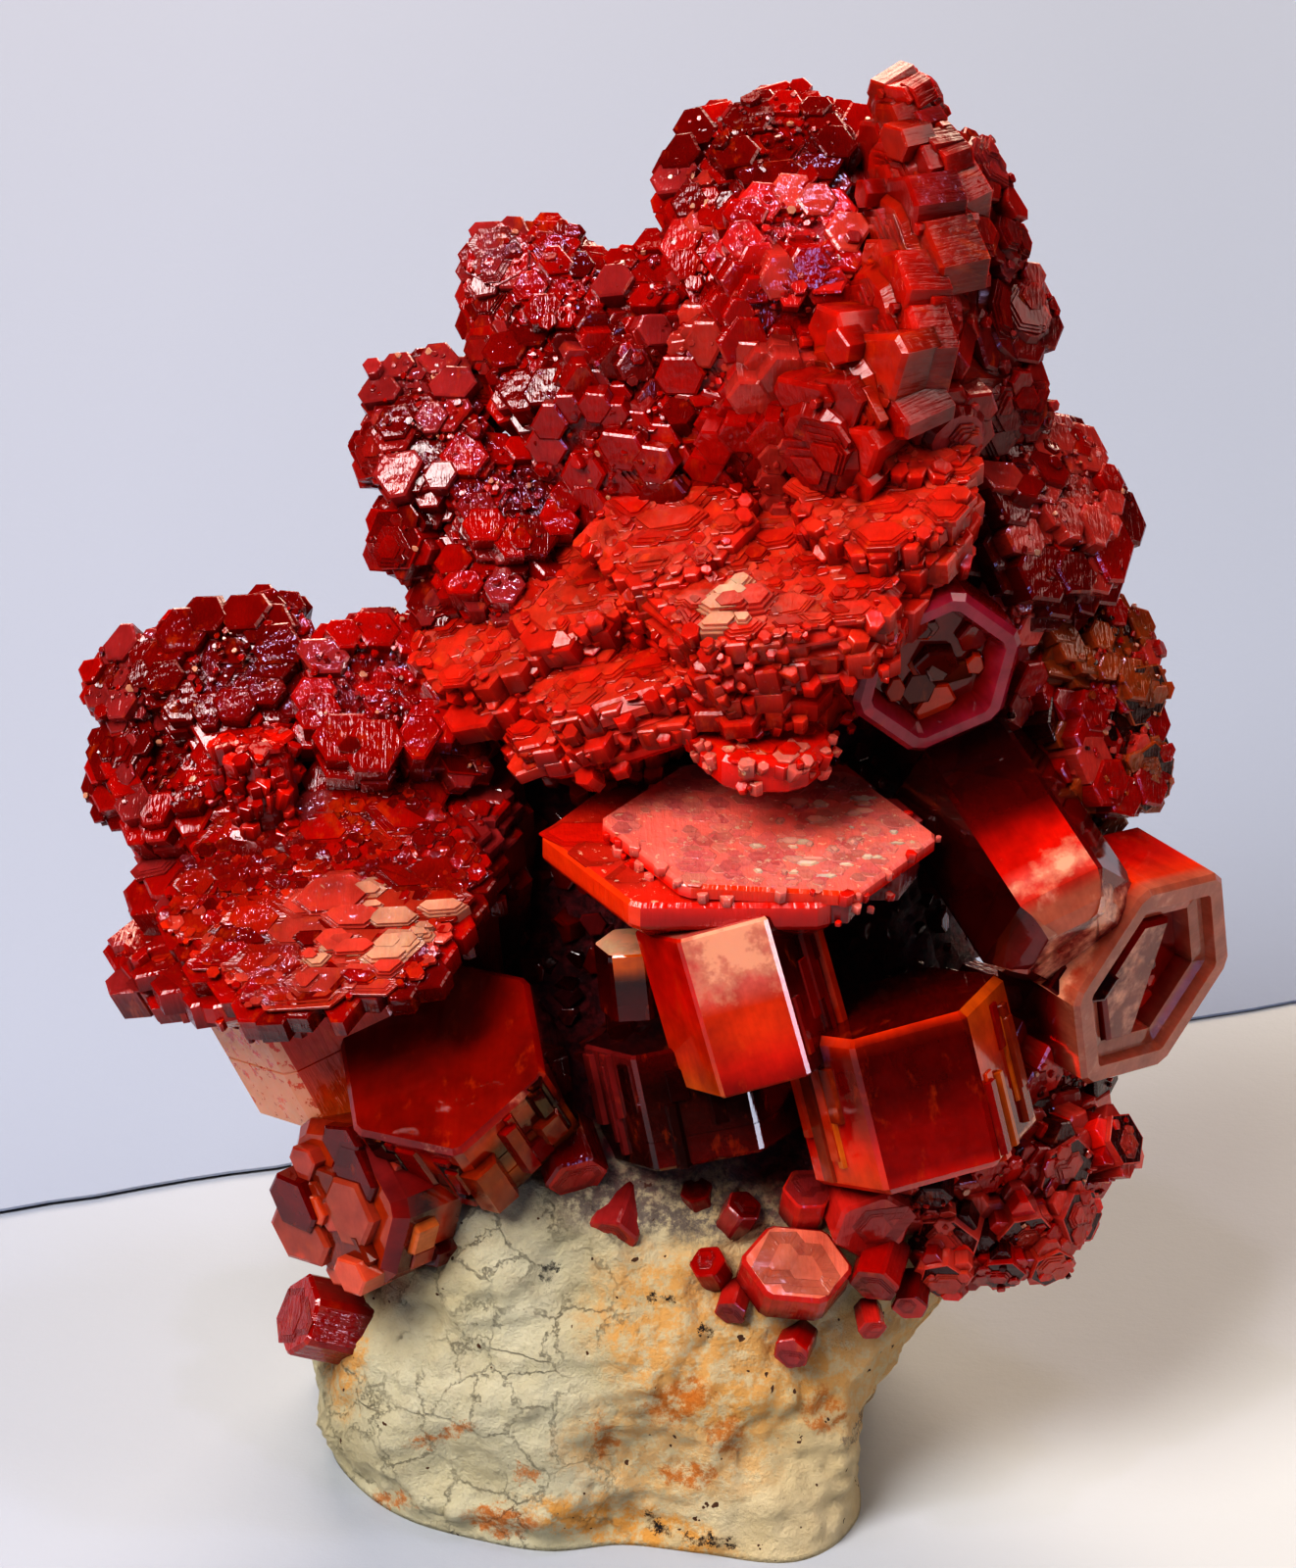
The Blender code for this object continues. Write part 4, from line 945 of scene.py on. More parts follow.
def grow_wide_prism():
    """A clear prism with a dark front and a warm right side that ends in amber: the amber and
    ember at the tops of its sides are painted glints, and the milky foot of its right side is
    a painted reflection.
    """
    sides = {
        "all": [(0.0, OXBLOOD), (1.0, RUBY)],
        3: [(0.0, EMBER), (0.3, SCARLET), (0.5, RUBY), (0.85, OXBLOOD), (1.0, EMBER)],
        4: [(0.0, SCARLET), (0.12, RUBY), (0.4, RUBY), (0.6, OXBLOOD), (0.93, OXBLOOD),
            (1.0, EMBER)],
        5: [(0.0, milky_with_sheen(OXBLOOD, 1.0)), (0.10, milky_with_sheen(OXBLOOD, 0.9)), (0.14, OXBLOOD),
            (0.4, RUBY), (0.65, EMBER), (1.0, AMBER)],
    }
    ribbing = dict(sides=(3, 5, 5), count=12, size=(0.3, 0.7),
                   palette=[RUBY, EMBER, AMBER, (0.5, 0.05, 0.006, 0.0)])
    return prism("wide_prism", sides, (OXBLOOD, OXBLOOD), edge=0.3, chamfer=0.16,
                 ribbing=ribbing)


def grow_dark_prism():
    """A nearly black prism, brown where light gets into its edges."""
    sides = {
        "all": [(0.0, OXBLOOD), (1.0, GARNET)],
        3: [(0.0, UMBER), (0.5, (0.14, 0.014, 0.010, 0.0)), (1.0, MAUVE)],
        4: [(0.0, OXBLOOD), (0.3, (0.12, 0.012, 0.008, 0.0)), (0.7, UMBER), (1.0, OXBLOOD)],
        5: [(0.0, RUBY), (0.5, UMBER), (1.0, GARNET)],
    }
    ribbing = dict(sides=(3, 4, 5), count=9, size=(0.3, 0.8), palette=[UMBER, GARNET, MAUVE])
    return prism("dark_prism", sides, (OXBLOOD, GARNET), edge=0.14, chamfer=0.15,
                 bands=[(0.25, 0.03)], ribbing=ribbing)


def grow_small_prism():
    """A small dark prism with an amber front and a cream end, a painted reflection."""
    sides = {
        "all": [(0.0, OXBLOOD), (1.0, GARNET)],
        4: [(0.0, OXBLOOD), (0.6, UMBER), (0.8, AMBER), (1.0, AMBER)],
    }
    return prism("small_prism", sides, (GARNET, milky_with_sheen((0.9, 0.66, 0.42), 1.0)), edge=0.07,
                 chamfer=0.12)


def grow_big_tablet():
    """The wide tablet: a milky upper plate flecked with painted cream reflections, over a clear one
    that draws in below its rim.
    """
    growth, rng = Growth(), draws("big_tablet")
    upper, lower, rear = bases_of("big_tablet")
    half = upper.height / 2
    thin = [(1.2, -half), (0.25, half - 0.75), (0.0, half - 0.6), (0.0, half - 0.14), (0.14, half)]
    body(growth, upper, thin, {"all": [(0.0, RUBY), (0.7, SCARLET), (1.0, ROSE)],
                               3: [(0.0, RUBY), (0.6, SCARLET), (1.0, EMBER)]},
         (SCARLET, ROSE), chamfer=0.3)
    half = lower.height / 2
    tapered = [(3.0, -half), (0.9, half - 1.9), (0.1, half - 1.2), (0.0, half - 1.0),
               (0.0, half - 0.16), (0.16, half)]
    body(growth, lower, tapered, {"all": [(0.0, GARNET), (0.5, OXBLOOD), (0.8, RUBY),
                                          (1.0, SCARLET)],
                                  3: [(0.0, OXBLOOD), (0.5, RUBY), (0.8, EMBER), (1.0, EMBER)]},
         (RUBY, GLOSS), chamfer=0.3)
    body(growth, rear, worn_profile(rear, 0.2), plain_sides(SCARLET), (RUBY, GLOSS))
    hillocks(growth, rng, lower, count=14, size=(0.8, 2.4), step=(0.01, 0.03), lean=3,
             palette=[GLOSS, SCARLET], spread=0.9)
    top_scales(growth, rng, upper, count=300, size=(0.12, 0.6), rise=(0.01, 0.03), lean=3.0,
               palette=[ROSE, (0.97, 0.17, 0.14, 0.2), (1.0, 0.24, 0.17, 0.25)], spread=0.93,
               shades=(0.95, 1.02))
    # The pale flecks are painted cream reflections.
    hillocks(growth, rng, upper, count=44, size=(0.10, 0.42), step=(0.012, 0.025), lean=7,
             palette=[(1.0, 0.58, 0.40, 0.0), (0.98, 0.36, 0.26, 0.0)], spread=0.88,
             wide=(0.5, 2.2), around=(-110, 60))
    wall_grains(growth, rng, upper, count=50, size=(0.12, 0.35), lean=(0, 12),
                palette=[SCARLET, ROSE])
    rim_crystals(growth, rng, lower, per_side=2, size=0.5, drop=0.02, reach=0.93, lean=(0, 5),
                 palette=[RUBY, SCARLET, MAUVE], tall=0.35, only=(0, 5))
    return growth


def grow_lens():
    """A small thick tablet with wide worn edges, crusted all round."""
    growth, rng = Growth(), draws("lens_crystal")
    base, = bases_of("lens_crystal")
    body(growth, base, worn_profile(base, 0.22), plain_sides(SCARLET, RUBY), (SCARLET, SCARLET),
         chamfer=0.5)
    wall_grains(growth, rng, base, count=60, size=(0.15, 0.4), lean=(5, 40),
                palette=[SCARLET, ROSE])
    top_scales(growth, rng, base, count=40, size=(0.15, 0.6), rise=(0.03, 0.12), lean=12,
               palette=[SCARLET, ROSE])
    return growth


def grow_hollow_tablet():
    """A tablet with a sunken face: a smooth mauve rim round a dark hollow with pale chips."""
    growth, rng = Growth(), draws("hollow_tablet")
    base, = bases_of("hollow_tablet")
    sides = {"all": [(0.0, OXBLOOD), (0.6, RUBY), (1.0, HOLLOW_RIM)]}
    body(growth, base, worn_profile(base, 0.25, recess=(0.7, 1.1)), sides, (GARNET, RUBY),
         chamfer=0.4)
    floor = base._replace(height=base.height - 2.2)
    top_scales(growth, rng, floor, count=16, size=(0.4, 1.0), rise=(0.05, 0.4), lean=20,
               palette=[RUBY, BRONZE, (0.30, 0.02, 0.004, 0.0), EMBER], spread=0.6)
    return growth


def grow_right_block():
    """A long dark block: a painted warm glow and a painted tan reflection on its upper side, a
    painted pale sheen at its end, wide worn edges, and a facet on its end.
    """
    growth = Growth()
    base, = bases_of("right_block")
    half = base.height / 2
    profile = [(0.3, -half), (0.0, 0.3 - half), (0.0, half - 1.3), (0.75, half - 0.4),
               (1.3, half)]
    sides = {
        "all": [(0.0, OXBLOOD), (1.0, OXBLOOD)],
        0: [(0.0, GARNET), (0.7, OXBLOOD), (0.84, OXBLOOD), (0.88, milky_with_sheen(MAUVE, 0.8)),
            (1.0, milky_with_sheen(MAUVE, 0.8))],
        1: [(0.0, UMBER), (0.25, GARNET), (0.45, OXBLOOD), (0.6, SCARLET),
            (0.7, milky_with_sheen(SCARLET, 0.5)), (0.8, milky_with_sheen(ROSE, 1.1)), (0.86, milky_with_sheen(SCARLET, 0.4)),
            (0.88, PAINTED_TAN_REFLECTION), (1.0, PAINTED_TAN_REFLECTION)],
        2: [(0.0, UMBER), (0.5, GARNET), (0.86, GARNET), (1.0, MAUVE)],
    }
    body(growth, base, profile, sides, (OXBLOOD, milky_with_sheen(MAUVE, 0.7)), chamfer=0.15)
    facet = Base(np.array([17.3, -7.9, 2.9]), leaning_axes(tip=20, toward=330),
                 hexagon(1.2, turn=8) * (1.3, 0.8), radius=1.2, height=1.6)
    body(growth, facet, worn_profile(facet, 0.1), {"all": [(0.0, GARNET), (1.0, OXBLOOD)]},
         (GARNET, GARNET))
    return growth


def grow_right_tablet():
    """A thick tablet with a stepped hollow in its face; the tan round the tops of its sides is a
    painted reflection, and its milky orange side and ledge carry a painted sheen.
    """
    growth, rng = Growth(), draws("right_tablet")
    base, = bases_of("right_tablet")
    sides = {
        "all": [(0.0, RUBY), (0.7, RUBY), (0.84, PAINTED_TAN_REFLECTION), (1.0, PAINTED_TAN_REFLECTION)],
        0: [(0.0, RUBY), (0.5, SCARLET), (0.8, EMBER), (0.9, PAINTED_TAN_REFLECTION), (1.0, PAINTED_TAN_REFLECTION)],
        1: [(0.0, SCARLET), (0.45, EMBER), (0.6, milky_with_sheen(EMBER, 1.4)), (0.8, milky_with_sheen(EMBER, 1.0)),
            (0.9, PAINTED_TAN_REFLECTION), (1.0, PAINTED_TAN_REFLECTION)],
        2: [(0.0, OXBLOOD), (0.5, UMBER), (0.7, RUBY), (0.84, PAINTED_TAN_REFLECTION), (1.0, PAINTED_TAN_REFLECTION)],
    }
    half = base.height / 2
    profile = worn_profile(base, 0.2) + [
        (0.9, half), (1.0, half - 0.5), (1.7, half - 0.6), (1.8, half - 1.4)]
    body(growth, base, profile, sides, (GARNET, RUBY), chamfer=0.4)
    step = np.array([(0.3, 2.7), (-1.4, 2.8), (-3.1, 0.2), (-1.7, -2.6), (-0.2, -2.7)])
    ledge = base._replace(corners=step, height=base.height - 0.5)
    body(growth, ledge, worn_profile(ledge, 0.15), {"all": [(0.0, OXBLOOD), (1.0, RUBY)]},
         (RUBY, (0.46, 0.10, 0.06, 0.6)))
    floor = base._replace(height=base.height - 2.8, corners=base.corners * 0.6)
    top_scales(growth, rng, floor, count=12, size=(0.2, 0.7), rise=(0.05, 0.3), lean=14,
               palette=[OXBLOOD, SCARLET, RUBY])
    return growth


def grow_lower_left_block():
    """A thick brown block: amber and dark bands on its walls, a painted pale sheen along the top of
    two of them, and a wide red face.
    """
    sides = {
        "all": [(0.0, OXBLOOD), (1.0, RUBY)],
        3: [(0.0, AMBER), (0.35, UMBER), (0.7, EMBER), (0.9, RUBY), (1.0, milky_with_sheen(MAUVE, 0.4))],
        4: [(0.0, UMBER), (0.3, AMBER), (0.6, UMBER), (0.85, EMBER), (1.0, milky_with_sheen(MAUVE, 0.4))],
        5: [(0.0, UMBER), (0.8, GARNET), (1.0, RUBY)],
    }
    ribbing = dict(sides=(3, 4), count=16, size=(0.4, 1.1),
                   palette=[UMBER, (0.6, 0.06, 0.006, 0.0), RUBY])
    return prism("lower_left_block", sides, (RUBY, (0.46, 0.012, 0.001, 0.0)), edge=0.22,
                 chamfer=0.25, bands=[(0.3, 0.06), (0.55, 0.05)], ribbing=ribbing)


def grow_corner_crystal():
    """A brown crystal whose end is broken up into amber and dark facets."""
    growth, rng = Growth(), draws("corner_crystal")
    base, = bases_of("corner_crystal")
    sides = {
        "all": [(0.0, UMBER), (1.0, (0.66, 0.06, 0.006, 0.0))],
        0: [(0.0, UMBER), (0.5, RUBY), (1.0, MAUVE)],
        5: [(0.0, UMBER), (0.4, EMBER), (0.6, UMBER), (1.0, RUBY)],
    }
    body(growth, base, worn_profile(base, 0.5), sides, (UMBER, (0.66, 0.07, 0.008, 0.0)),
         chamfer=0.5)
    tones = [(0.76, 0.09, 0.016, 0.0), (0.46, 0.05, 0.010, 0.0), (0.80, 0.20, 0.04, 0.0),
             (0.78, 0.12, 0.05, 0.0), (0.78, 0.10, 0.05, 0.0), OXBLOOD]
    top_scales(growth, rng, base, count=13, size=(0.6, 1.8), rise=(0.3, 1.0), lean=7,
               palette=tones, spread=0.8)
    ribs(growth, rng, base, sides=(0, 4, 5), count=9, size=(0.5, 1.1), palette=tones)
    return growth


def small_group(name):
    """Single small crystals with worn edges and a few steps on top."""
    growth, rng = Growth(), draws(name)
    for base in bases_of(name):
        edge = 0.08 * base.radius
        tone, end = picked(rng, SMALL_COLOURS, 2)
        if name == "slab_crystal":
            end = (0.88, 0.22, 0.13, 0.0)
        body(growth, base, worn_profile(base, edge), plain_sides(tone, GARNET), (GARNET, end),
             chamfer=0.1 * base.radius)
        hillocks(growth, rng, base, count=2, size=(0.4 * base.radius, 0.8 * base.radius),
                 step=(0.01, 0.03), lean=1, palette=[end], spread=0.3, wide=(0.9, 1.2))
    return growth


def through(values, places, count):
    """A smooth curve through rows of values at places, read at count even steps."""
    values, places = np.asarray(values, float), np.asarray(places, float)
    step = np.diff(places)[:, None]
    slope = np.diff(values, axis=0) / step
    bend = np.vstack([slope[:1], (slope[1:] + slope[:-1]) / 2, slope[-1:]])
    at = np.linspace(places[0], places[-1], count)
    left = np.clip(np.searchsorted(places, at, side="right") - 1, 0, len(places) - 2)
    span = step[left]
    t = (at - places[left])[:, None] / span
    return (
        (1 + 2 * t) * (1 - t) ** 2 * values[left]
        + t * (1 - t) ** 2 * span * bend[left]
        + t**2 * (3 - 2 * t) * values[left + 1]
        - t**2 * (1 - t) * span * bend[left + 1]
    )


def lattice_noise(points, cell, seed):
    """Smooth random values: a lattice of random numbers, blended by 3tt - 2ttt in each axis."""
    rng = np.random.default_rng(seed)
    table = rng.uniform(-1, 1, 4096)
    scaled = points / cell
    whole = np.floor(scaled).astype(np.int64)
    t = scaled - whole
    t = t * t * (3 - 2 * t)
    total = 0
    for corner in range(8):
        bits = np.array([corner & 1, corner >> 1 & 1, corner >> 2 & 1])
        x, y, z = np.moveaxis(whole + bits, -1, 0)
        key = (x * 73856093 ^ y * 19349663 ^ z * 83492791) & 4095
        weight = np.prod(np.where(bits, t, 1 - t), axis=-1)
        total = total + weight * table[key]
    return total


def wrapped(columns, ends):
    """Columns round a ring with some repeated past both ends."""
    return np.concatenate([columns[:, -ends:], columns, columns[:, :ends + 1]], 1)


def around_rock(middles, radii):
    """Points at radii from each level's middle, in even steps round it and in even levels."""
    z = np.linspace(ROCK_SLICES[0][0], ROCK_SLICES[-1][0], len(radii))[:, None]
    angle = np.arange(radii.shape[1]) * 2 * math.pi / radii.shape[1]
    return np.stack([middles[:, :1] + radii * np.cos(angle), middles[:, 1:] + radii * np.sin(angle),
                     np.broadcast_to(z, radii.shape)], -1)


def rock_radii():
    """Each level's middle and radii of the rock's smooth surface, in fine steps up and round.

    The slices are read at ROCK_LEVELS heights and ROCK_AROUND directions with the same lumps as
    the plain solid, and a finer curve is then run through those, first upward and then round.
    """
    heights = [row[0] for row in ROCK_SLICES]
    middles = through([row[1:3] for row in ROCK_SLICES], heights, ROCK_LEVELS)
    reaches = through([row[3] for row in ROCK_SLICES], heights, ROCK_LEVELS)
    z = np.linspace(heights[0], heights[-1], ROCK_LEVELS)
    directions = reaches.shape[1]
    twice = ROCK_AROUND // directions
    places = np.arange(-2, directions + 3)
    coarse = through(wrapped(reaches, 2).T, places, (directions + 4) * twice + 1).T
    coarse = coarse[:, 2 * twice:2 * twice + ROCK_AROUND]
    spots = around_rock(middles, coarse)
    for waves, size in ROCK_LUMPS:
        lumps = [noise.noise(Vector(spot) * waves) for spot in spots.reshape(-1, 3)]
        coarse = coarse + size * np.reshape(lumps, coarse.shape)
    fine = through(coarse, z, ROCK_ROWS)
    fine_middles = through(middles, z, ROCK_ROWS)
    steps = ROCK_COLUMNS // ROCK_AROUND
    places = np.arange(-2, ROCK_AROUND + 3)
    round_it = through(wrapped(fine, 2).T, places, (ROCK_AROUND + 4) * steps + 1).T
    return fine_middles, round_it[:, 2 * steps:2 * steps + ROCK_COLUMNS]


def crust(growth, rng, count, size, palette):
    """Small dark crystals all over the rock above CRUST_FROM, standing out from its surface."""
    middles, radii = rock_radii()
    top = ROCK_SLICES[-1][0]
    row = rng.integers(int(ROCK_ROWS * (CRUST_FROM + 2) / top), ROCK_ROWS - 2, count)
    column = rng.integers(0, ROCK_COLUMNS, count)
    angle = column * 2 * math.pi / ROCK_COLUMNS
    away = np.stack([np.cos(angle), np.sin(angle), 0 * angle], -1)
    spots = away * radii[row, column][:, None]
    spots[:, :2] += middles[row]
    spots[:, 2] = row * top / (ROCK_ROWS - 1) - FACE_HEIGHT
    across, up, out = (away @ FACE.T).T
    tip = np.degrees(np.arccos(out)) + rng.uniform(-25, 25, count)
    toward = bearing(across, up) + rng.uniform(-25, 25, count)
    radius = rng.uniform(*size, count)
    small_crystals(growth, rng, leaning_axes(tip, toward), spots @ FACE.T, radius,
                   radius * rng.uniform(1.2, 2.2, count), rng.uniform(0, 60, count),
                   picked(rng, palette, count))


def grow_back_druse():
    """Rosettes on the back of the spine, and the crust all over it."""
    growth = rosettes("back_druse", DRUSE_COLOURS, OXBLOOD)
    crust(growth, draws("spine_crust"), count=CRUST_COUNT, size=(0.2, 0.75),
          palette=CRUST_COLOURS)
    return growth


def grow_rock():
    """The rock: its radii, pushed in and out by the relief, which fades out at the flat foot.

    The relief adds up ledges, wrinkles, two steps of chips, bumps and grit, each a lattice noise
    with its own cell in mm, and a grainy crust over the spine.
    """
    middles, radii = rock_radii()
    smooth = around_rock(middles, radii)
    z = smooth[..., 2]
    ledges = 1 - 2 * np.abs(lattice_noise(smooth * (1.0, 1.0, 1.4), cell=4.2, seed=8))
    wrinkles = lattice_noise(smooth, cell=2.2, seed=3)
    flakes = (lattice_noise(smooth, cell=3.4, seed=9)
              + 0.35 * lattice_noise(smooth, cell=1.3, seed=10))
    chips = np.clip(6 * flakes, 0, 1) + np.clip(6 * flakes - 2.4, 0, 1) - 0.9
    bumps = np.abs(lattice_noise(smooth, cell=1.1, seed=4))
    grit = lattice_noise(smooth, cell=0.4, seed=5)
    relief = 0.40 * ledges + 0.30 * wrinkles + 0.3 * chips + 0.28 * bumps + 0.13 * grit
    crusted = np.clip((z - CRUST_FROM) / 2.0, 0, 1)
    relief = relief + crusted * 0.28 * np.abs(lattice_noise(smooth, cell=0.7, seed=6))
    radii = radii + relief * np.clip(z / 0.8, 0, 1)
    points = around_rock(middles, radii).reshape(-1, 3)
    here = np.arange(ROCK_ROWS * ROCK_COLUMNS).reshape(ROCK_ROWS, ROCK_COLUMNS)
    beside = np.roll(here, -1, axis=1)
    walls = quads(here, beside).reshape(-1, 4)
    top, foot = len(points), len(points) + 1
    caps = np.concatenate([
        np.stack([here[-1], beside[-1], np.full(ROCK_COLUMNS, top)], -1),
        np.stack([beside[0], here[0], np.full(ROCK_COLUMNS, foot)], -1)])
    points = np.concatenate([points, [ROCK_TOP, (*middles[0], 0.0)]]) * MM
    corners = np.concatenate([walls.reshape(-1), caps.reshape(-1)])
    starts = np.concatenate([np.arange(len(walls)) * 4,
                             len(walls) * 4 + np.arange(len(caps)) * 3])
    mesh = new_mesh("matrix", points, corners, starts)
    mesh.shade_smooth()
    return mesh


# Shaders ------------------------------------------------------------------------------------


def fill(tree, node, inputs):
    """Sets a node's sockets to values, or links them to other nodes' sockets."""
    for key, value in inputs.items():
        if isinstance(value, bpy.types.NodeSocket):
            tree.links.new(value, node.inputs[key])
        else:
            node.inputs[key].default_value = value


def new_node(tree, kind, inputs=(), **settings):
    """A node with its settings and its sockets filled."""
    node = tree.nodes.new(kind)
    for key, value in settings.items():
        setattr(node, key, value)
    fill(tree, node, dict(inputs))
    return node


def new_material(name):
    """A material, its tree and the shader in it."""
    material = bpy.data.materials.new(name)
    material.use_nodes = True
    return material, material.node_tree, material.node_tree.nodes["Principled BSDF"]


def math_node(tree, operation, first, second=0.5, clamp=False):
    """One sum, product or comparison of two values."""
    settings = {"operation": operation, "use_clamp": clamp}
    return new_node(tree, "ShaderNodeMath", {0: first, 1: second}, **settings).outputs[0]


def mix_colours(tree, share, first, second, blend_type="MIX"):
    """The first colour, with a share of the second mixed in or laid over it."""
    node = new_node(tree, "ShaderNodeMix", data_type="RGBA", blend_type=blend_type)
    for name, value in (("Factor_Float", share), ("A_Color", first), ("B_Color", second)):
        socket = next(s for s in node.inputs if s.identifier == name)
        if isinstance(value, bpy.types.NodeSocket):
            tree.links.new(value, socket)
        else:
            socket.default_value = value
    return next(s for s in node.outputs if s.identifier == "Result_Color")


def spread(tree, value, low, high, to_low=0.0, to_high=1.0):
    """A value moved from the range low..high to another one, and held inside it."""
    node = new_node(tree, "ShaderNodeMapRange", {
        "Value": value, "From Min": low, "From Max": high, "To Min": to_low, "To Max": to_high})
    return node.outputs[0]


def vector_node(tree, operation, *vectors):
    """A sum, product or measure of vectors."""
    return new_node(tree, "ShaderNodeVectorMath", dict(enumerate(vectors)), operation=operation)


def scaled(tree, vector, scale):
    """A vector stretched by the three shares of scale."""
    return vector_node(tree, "MULTIPLY", vector, scale).outputs[0]


def place_in(tree):
    """The place on the object, in metres and in millimetres."""
    where = new_node(tree, "ShaderNodeTexCoord").outputs["Object"]
    return where, scaled(tree, where, (1 / MM, 1 / MM, 1 / MM))


def bumped(tree, height, strength, distance):
    """The normal of a surface with this height on it; distance is in metres."""
    return new_node(tree, "ShaderNodeBump", {
        "Height": height, "Strength": strength, "Distance": distance}).outputs[0]


def noise_of(tree, vector, scale, detail=3.0, roughness=0.55):
    """Cloudy noise from 0 to 1, with `scale` clouds to a unit of the vector."""
    return new_node(tree, "ShaderNodeTexNoise", {
        "Vector": vector, "Scale": scale, "Detail": detail, "Roughness": roughness}).outputs["Fac"]


def new_group(name, inputs, outputs):
    """A shader group with its named sockets: (name, kind, value) in and (name, kind) out."""
    group = bpy.data.node_groups.new(name, "ShaderNodeTree")
    for label, kind, value in inputs:
        socket = group.interface.new_socket(label, in_out="INPUT", socket_type=kind)
        socket.default_value = value
    for label, kind in outputs:
        group.interface.new_socket(label, in_out="OUTPUT", socket_type=kind)
    return group, group.nodes.new("NodeGroupInput"), group.nodes.new("NodeGroupOutput")


def crystal_skin():
    """What every crystal surface shares: body colour with veils, streaks, frost and fine steps; the
    frost's cream is a painted sheen of reflected light.
    """
    group, given, put = new_group("crystal_skin", [
        ("Veils", "NodeSocketFloat", 0.5),
        ("Streaks", "NodeSocketFloat", 0.3),
        ("Glints", "NodeSocketFloat", 0.3),
        ("Frost Sheen Colour", "NodeSocketColor", (0.86, 0.40, 0.24, 1)),
        ("Frost", "NodeSocketFloat", 0.9),
        ("Frost Edge", "NodeSocketFloat", 0.10),
        ("Fleck Scale", "NodeSocketFloat", 1.6),
        ("Roughness", "NodeSocketFloat", 0.10),
        ("Frosted Roughness", "NodeSocketFloat", 0.42),
        ("Relief", "NodeSocketFloat", 0.3),
    ], [("Colour", "NodeSocketColor"), ("Roughness", "NodeSocketFloat"),
        ("Cloud", "NodeSocketFloat"), ("Normal", "NodeSocketVector")])
    local = new_node(group, "ShaderNodeUVMap", uv_map="crystal").outputs[0]
    zone = new_node(group, "ShaderNodeAttribute", attribute_name="zone")
    _, millimetres = place_in(group)

    veils = spread(group, noise_of(group, millimetres, 0.55, 4.0, 0.6), 0.35, 0.7)
    stretched = scaled(group, local, (5.0, 0.5, 1.0))
    streaks = spread(group, noise_of(group, stretched, 0.9, 3.0, 0.6), 0.42, 0.62)
    dark = mix_colours(group, 1.0, zone.outputs["Color"], (0.28, 0.14, 0.14, 1), "MULTIPLY")
    veil_share = math_node(group, "MULTIPLY", veils, given.outputs["Veils"])
    colour = mix_colours(group, veil_share, zone.outputs["Color"], dark)
    streak_share = math_node(group, "MULTIPLY", streaks, given.outputs["Streaks"])
    colour = mix_colours(group, streak_share, colour, dark)
    broken = vector_node(group, "ADD", scaled(group, local, (1.6, 0.6, 1.0)), millimetres)
    glint = spread(group, noise_of(group, broken.outputs[0], 0.5, 4.0, 0.65), 0.58, 0.72)
    glint_share = math_node(group, "MULTIPLY", glint, given.outputs["Glints"])
    colour = mix_colours(group, glint_share, colour, (0.80, 0.11, 0.006, 1))

    # Frost: milky, rougher patches where a colour's milky share is high, tinted with a cream that is
    # a painted sheen of reflected light.
    cloudy = noise_of(group, millimetres, given.outputs["Fleck Scale"], 4.0, 0.65)
    cloudy = spread(group, cloudy, 0.3, 0.7)
    past = math_node(group, "SUBTRACT", math_node(group, "ADD", cloudy, zone.outputs["Alpha"]), 1.0)
    frost = spread(group, past, 0.0, given.outputs["Frost Edge"])
    share = math_node(group, "MULTIPLY", frost, given.outputs["Frost"])
    colour = mix_colours(group, share, colour, given.outputs["Frost Sheen Colour"])

    red = new_node(group, "ShaderNodeSeparateColor", {0: zone.outputs["Color"]}).outputs["Red"]
    bright = math_node(group, "MAXIMUM", glint_share, spread(group, red, 0.4, 0.9, 0.0, 0.55))
    cloud = math_node(group, "MAXIMUM", share, bright)

    rough = new_node(group, "ShaderNodeMix", {
        0: frost, 2: given.outputs["Roughness"],
        3: given.outputs["Frosted Roughness"]}).outputs[0]
    uneven = spread(group, noise_of(group, millimetres, 1.4, 2.0), 0.3, 0.7, 0.75, 1.35)
    rough = math_node(group, "MULTIPLY", rough, uneven)

    steps = new_node(group, "ShaderNodeTexVoronoi", {"Vector": local, "Scale": 1.7})
    fine = noise_of(group, local, 2.2, 2.0, 0.5)
    height = math_node(group, "ADD", math_node(group, "MULTIPLY", steps.outputs["Distance"], 0.35),
                       math_node(group, "MULTIPLY", fine, 0.5))
    height = math_node(group, "ADD", height, math_node(group, "MULTIPLY", streaks, 0.15))
    fill(group, put, {"Colour": colour, "Roughness": rough, "Cloud": cloud,
                      "Normal": bumped(group, height, given.outputs["Relief"], 0.00012)})
    return group


def crystal_material(name, skin, clear=0.0, glow=0.3, density=0.0, ior=2.1, **values):
    """A crystal: the shared skin, some of the light let through, and a glow under the surface."""
    material, tree, shader = new_material(name)
    surface = new_node(tree, "ShaderNodeGroup", {
        key.replace("_", " "): value for key, value in values.items()}, node_tree=skin).outputs
    open_share = math_node(tree, "SUBTRACT", 1.0, surface["Cloud"], clamp=True)
    fill(tree, shader, {
        "Base Color": surface["Colour"],
        "Roughness": surface["Roughness"],
        "Normal": surface["Normal"],
        "IOR": ior,
        "Transmission Weight": math_node(tree, "MULTIPLY", open_share, clear),
        "Subsurface Weight": glow,
        "Subsurface Radius": (1.0, 0.18, 0.08),
        "Subsurface Scale": 0.0009,
    })
    if density:
        volume = new_node(tree, "ShaderNodeVolumeAbsorption", {
            "Color": (0.95, 0.16, 0.02, 1), "Density": density})
        tree.links.new(volume.outputs[0], tree.nodes["Material Output"].inputs["Volume"])
    return material


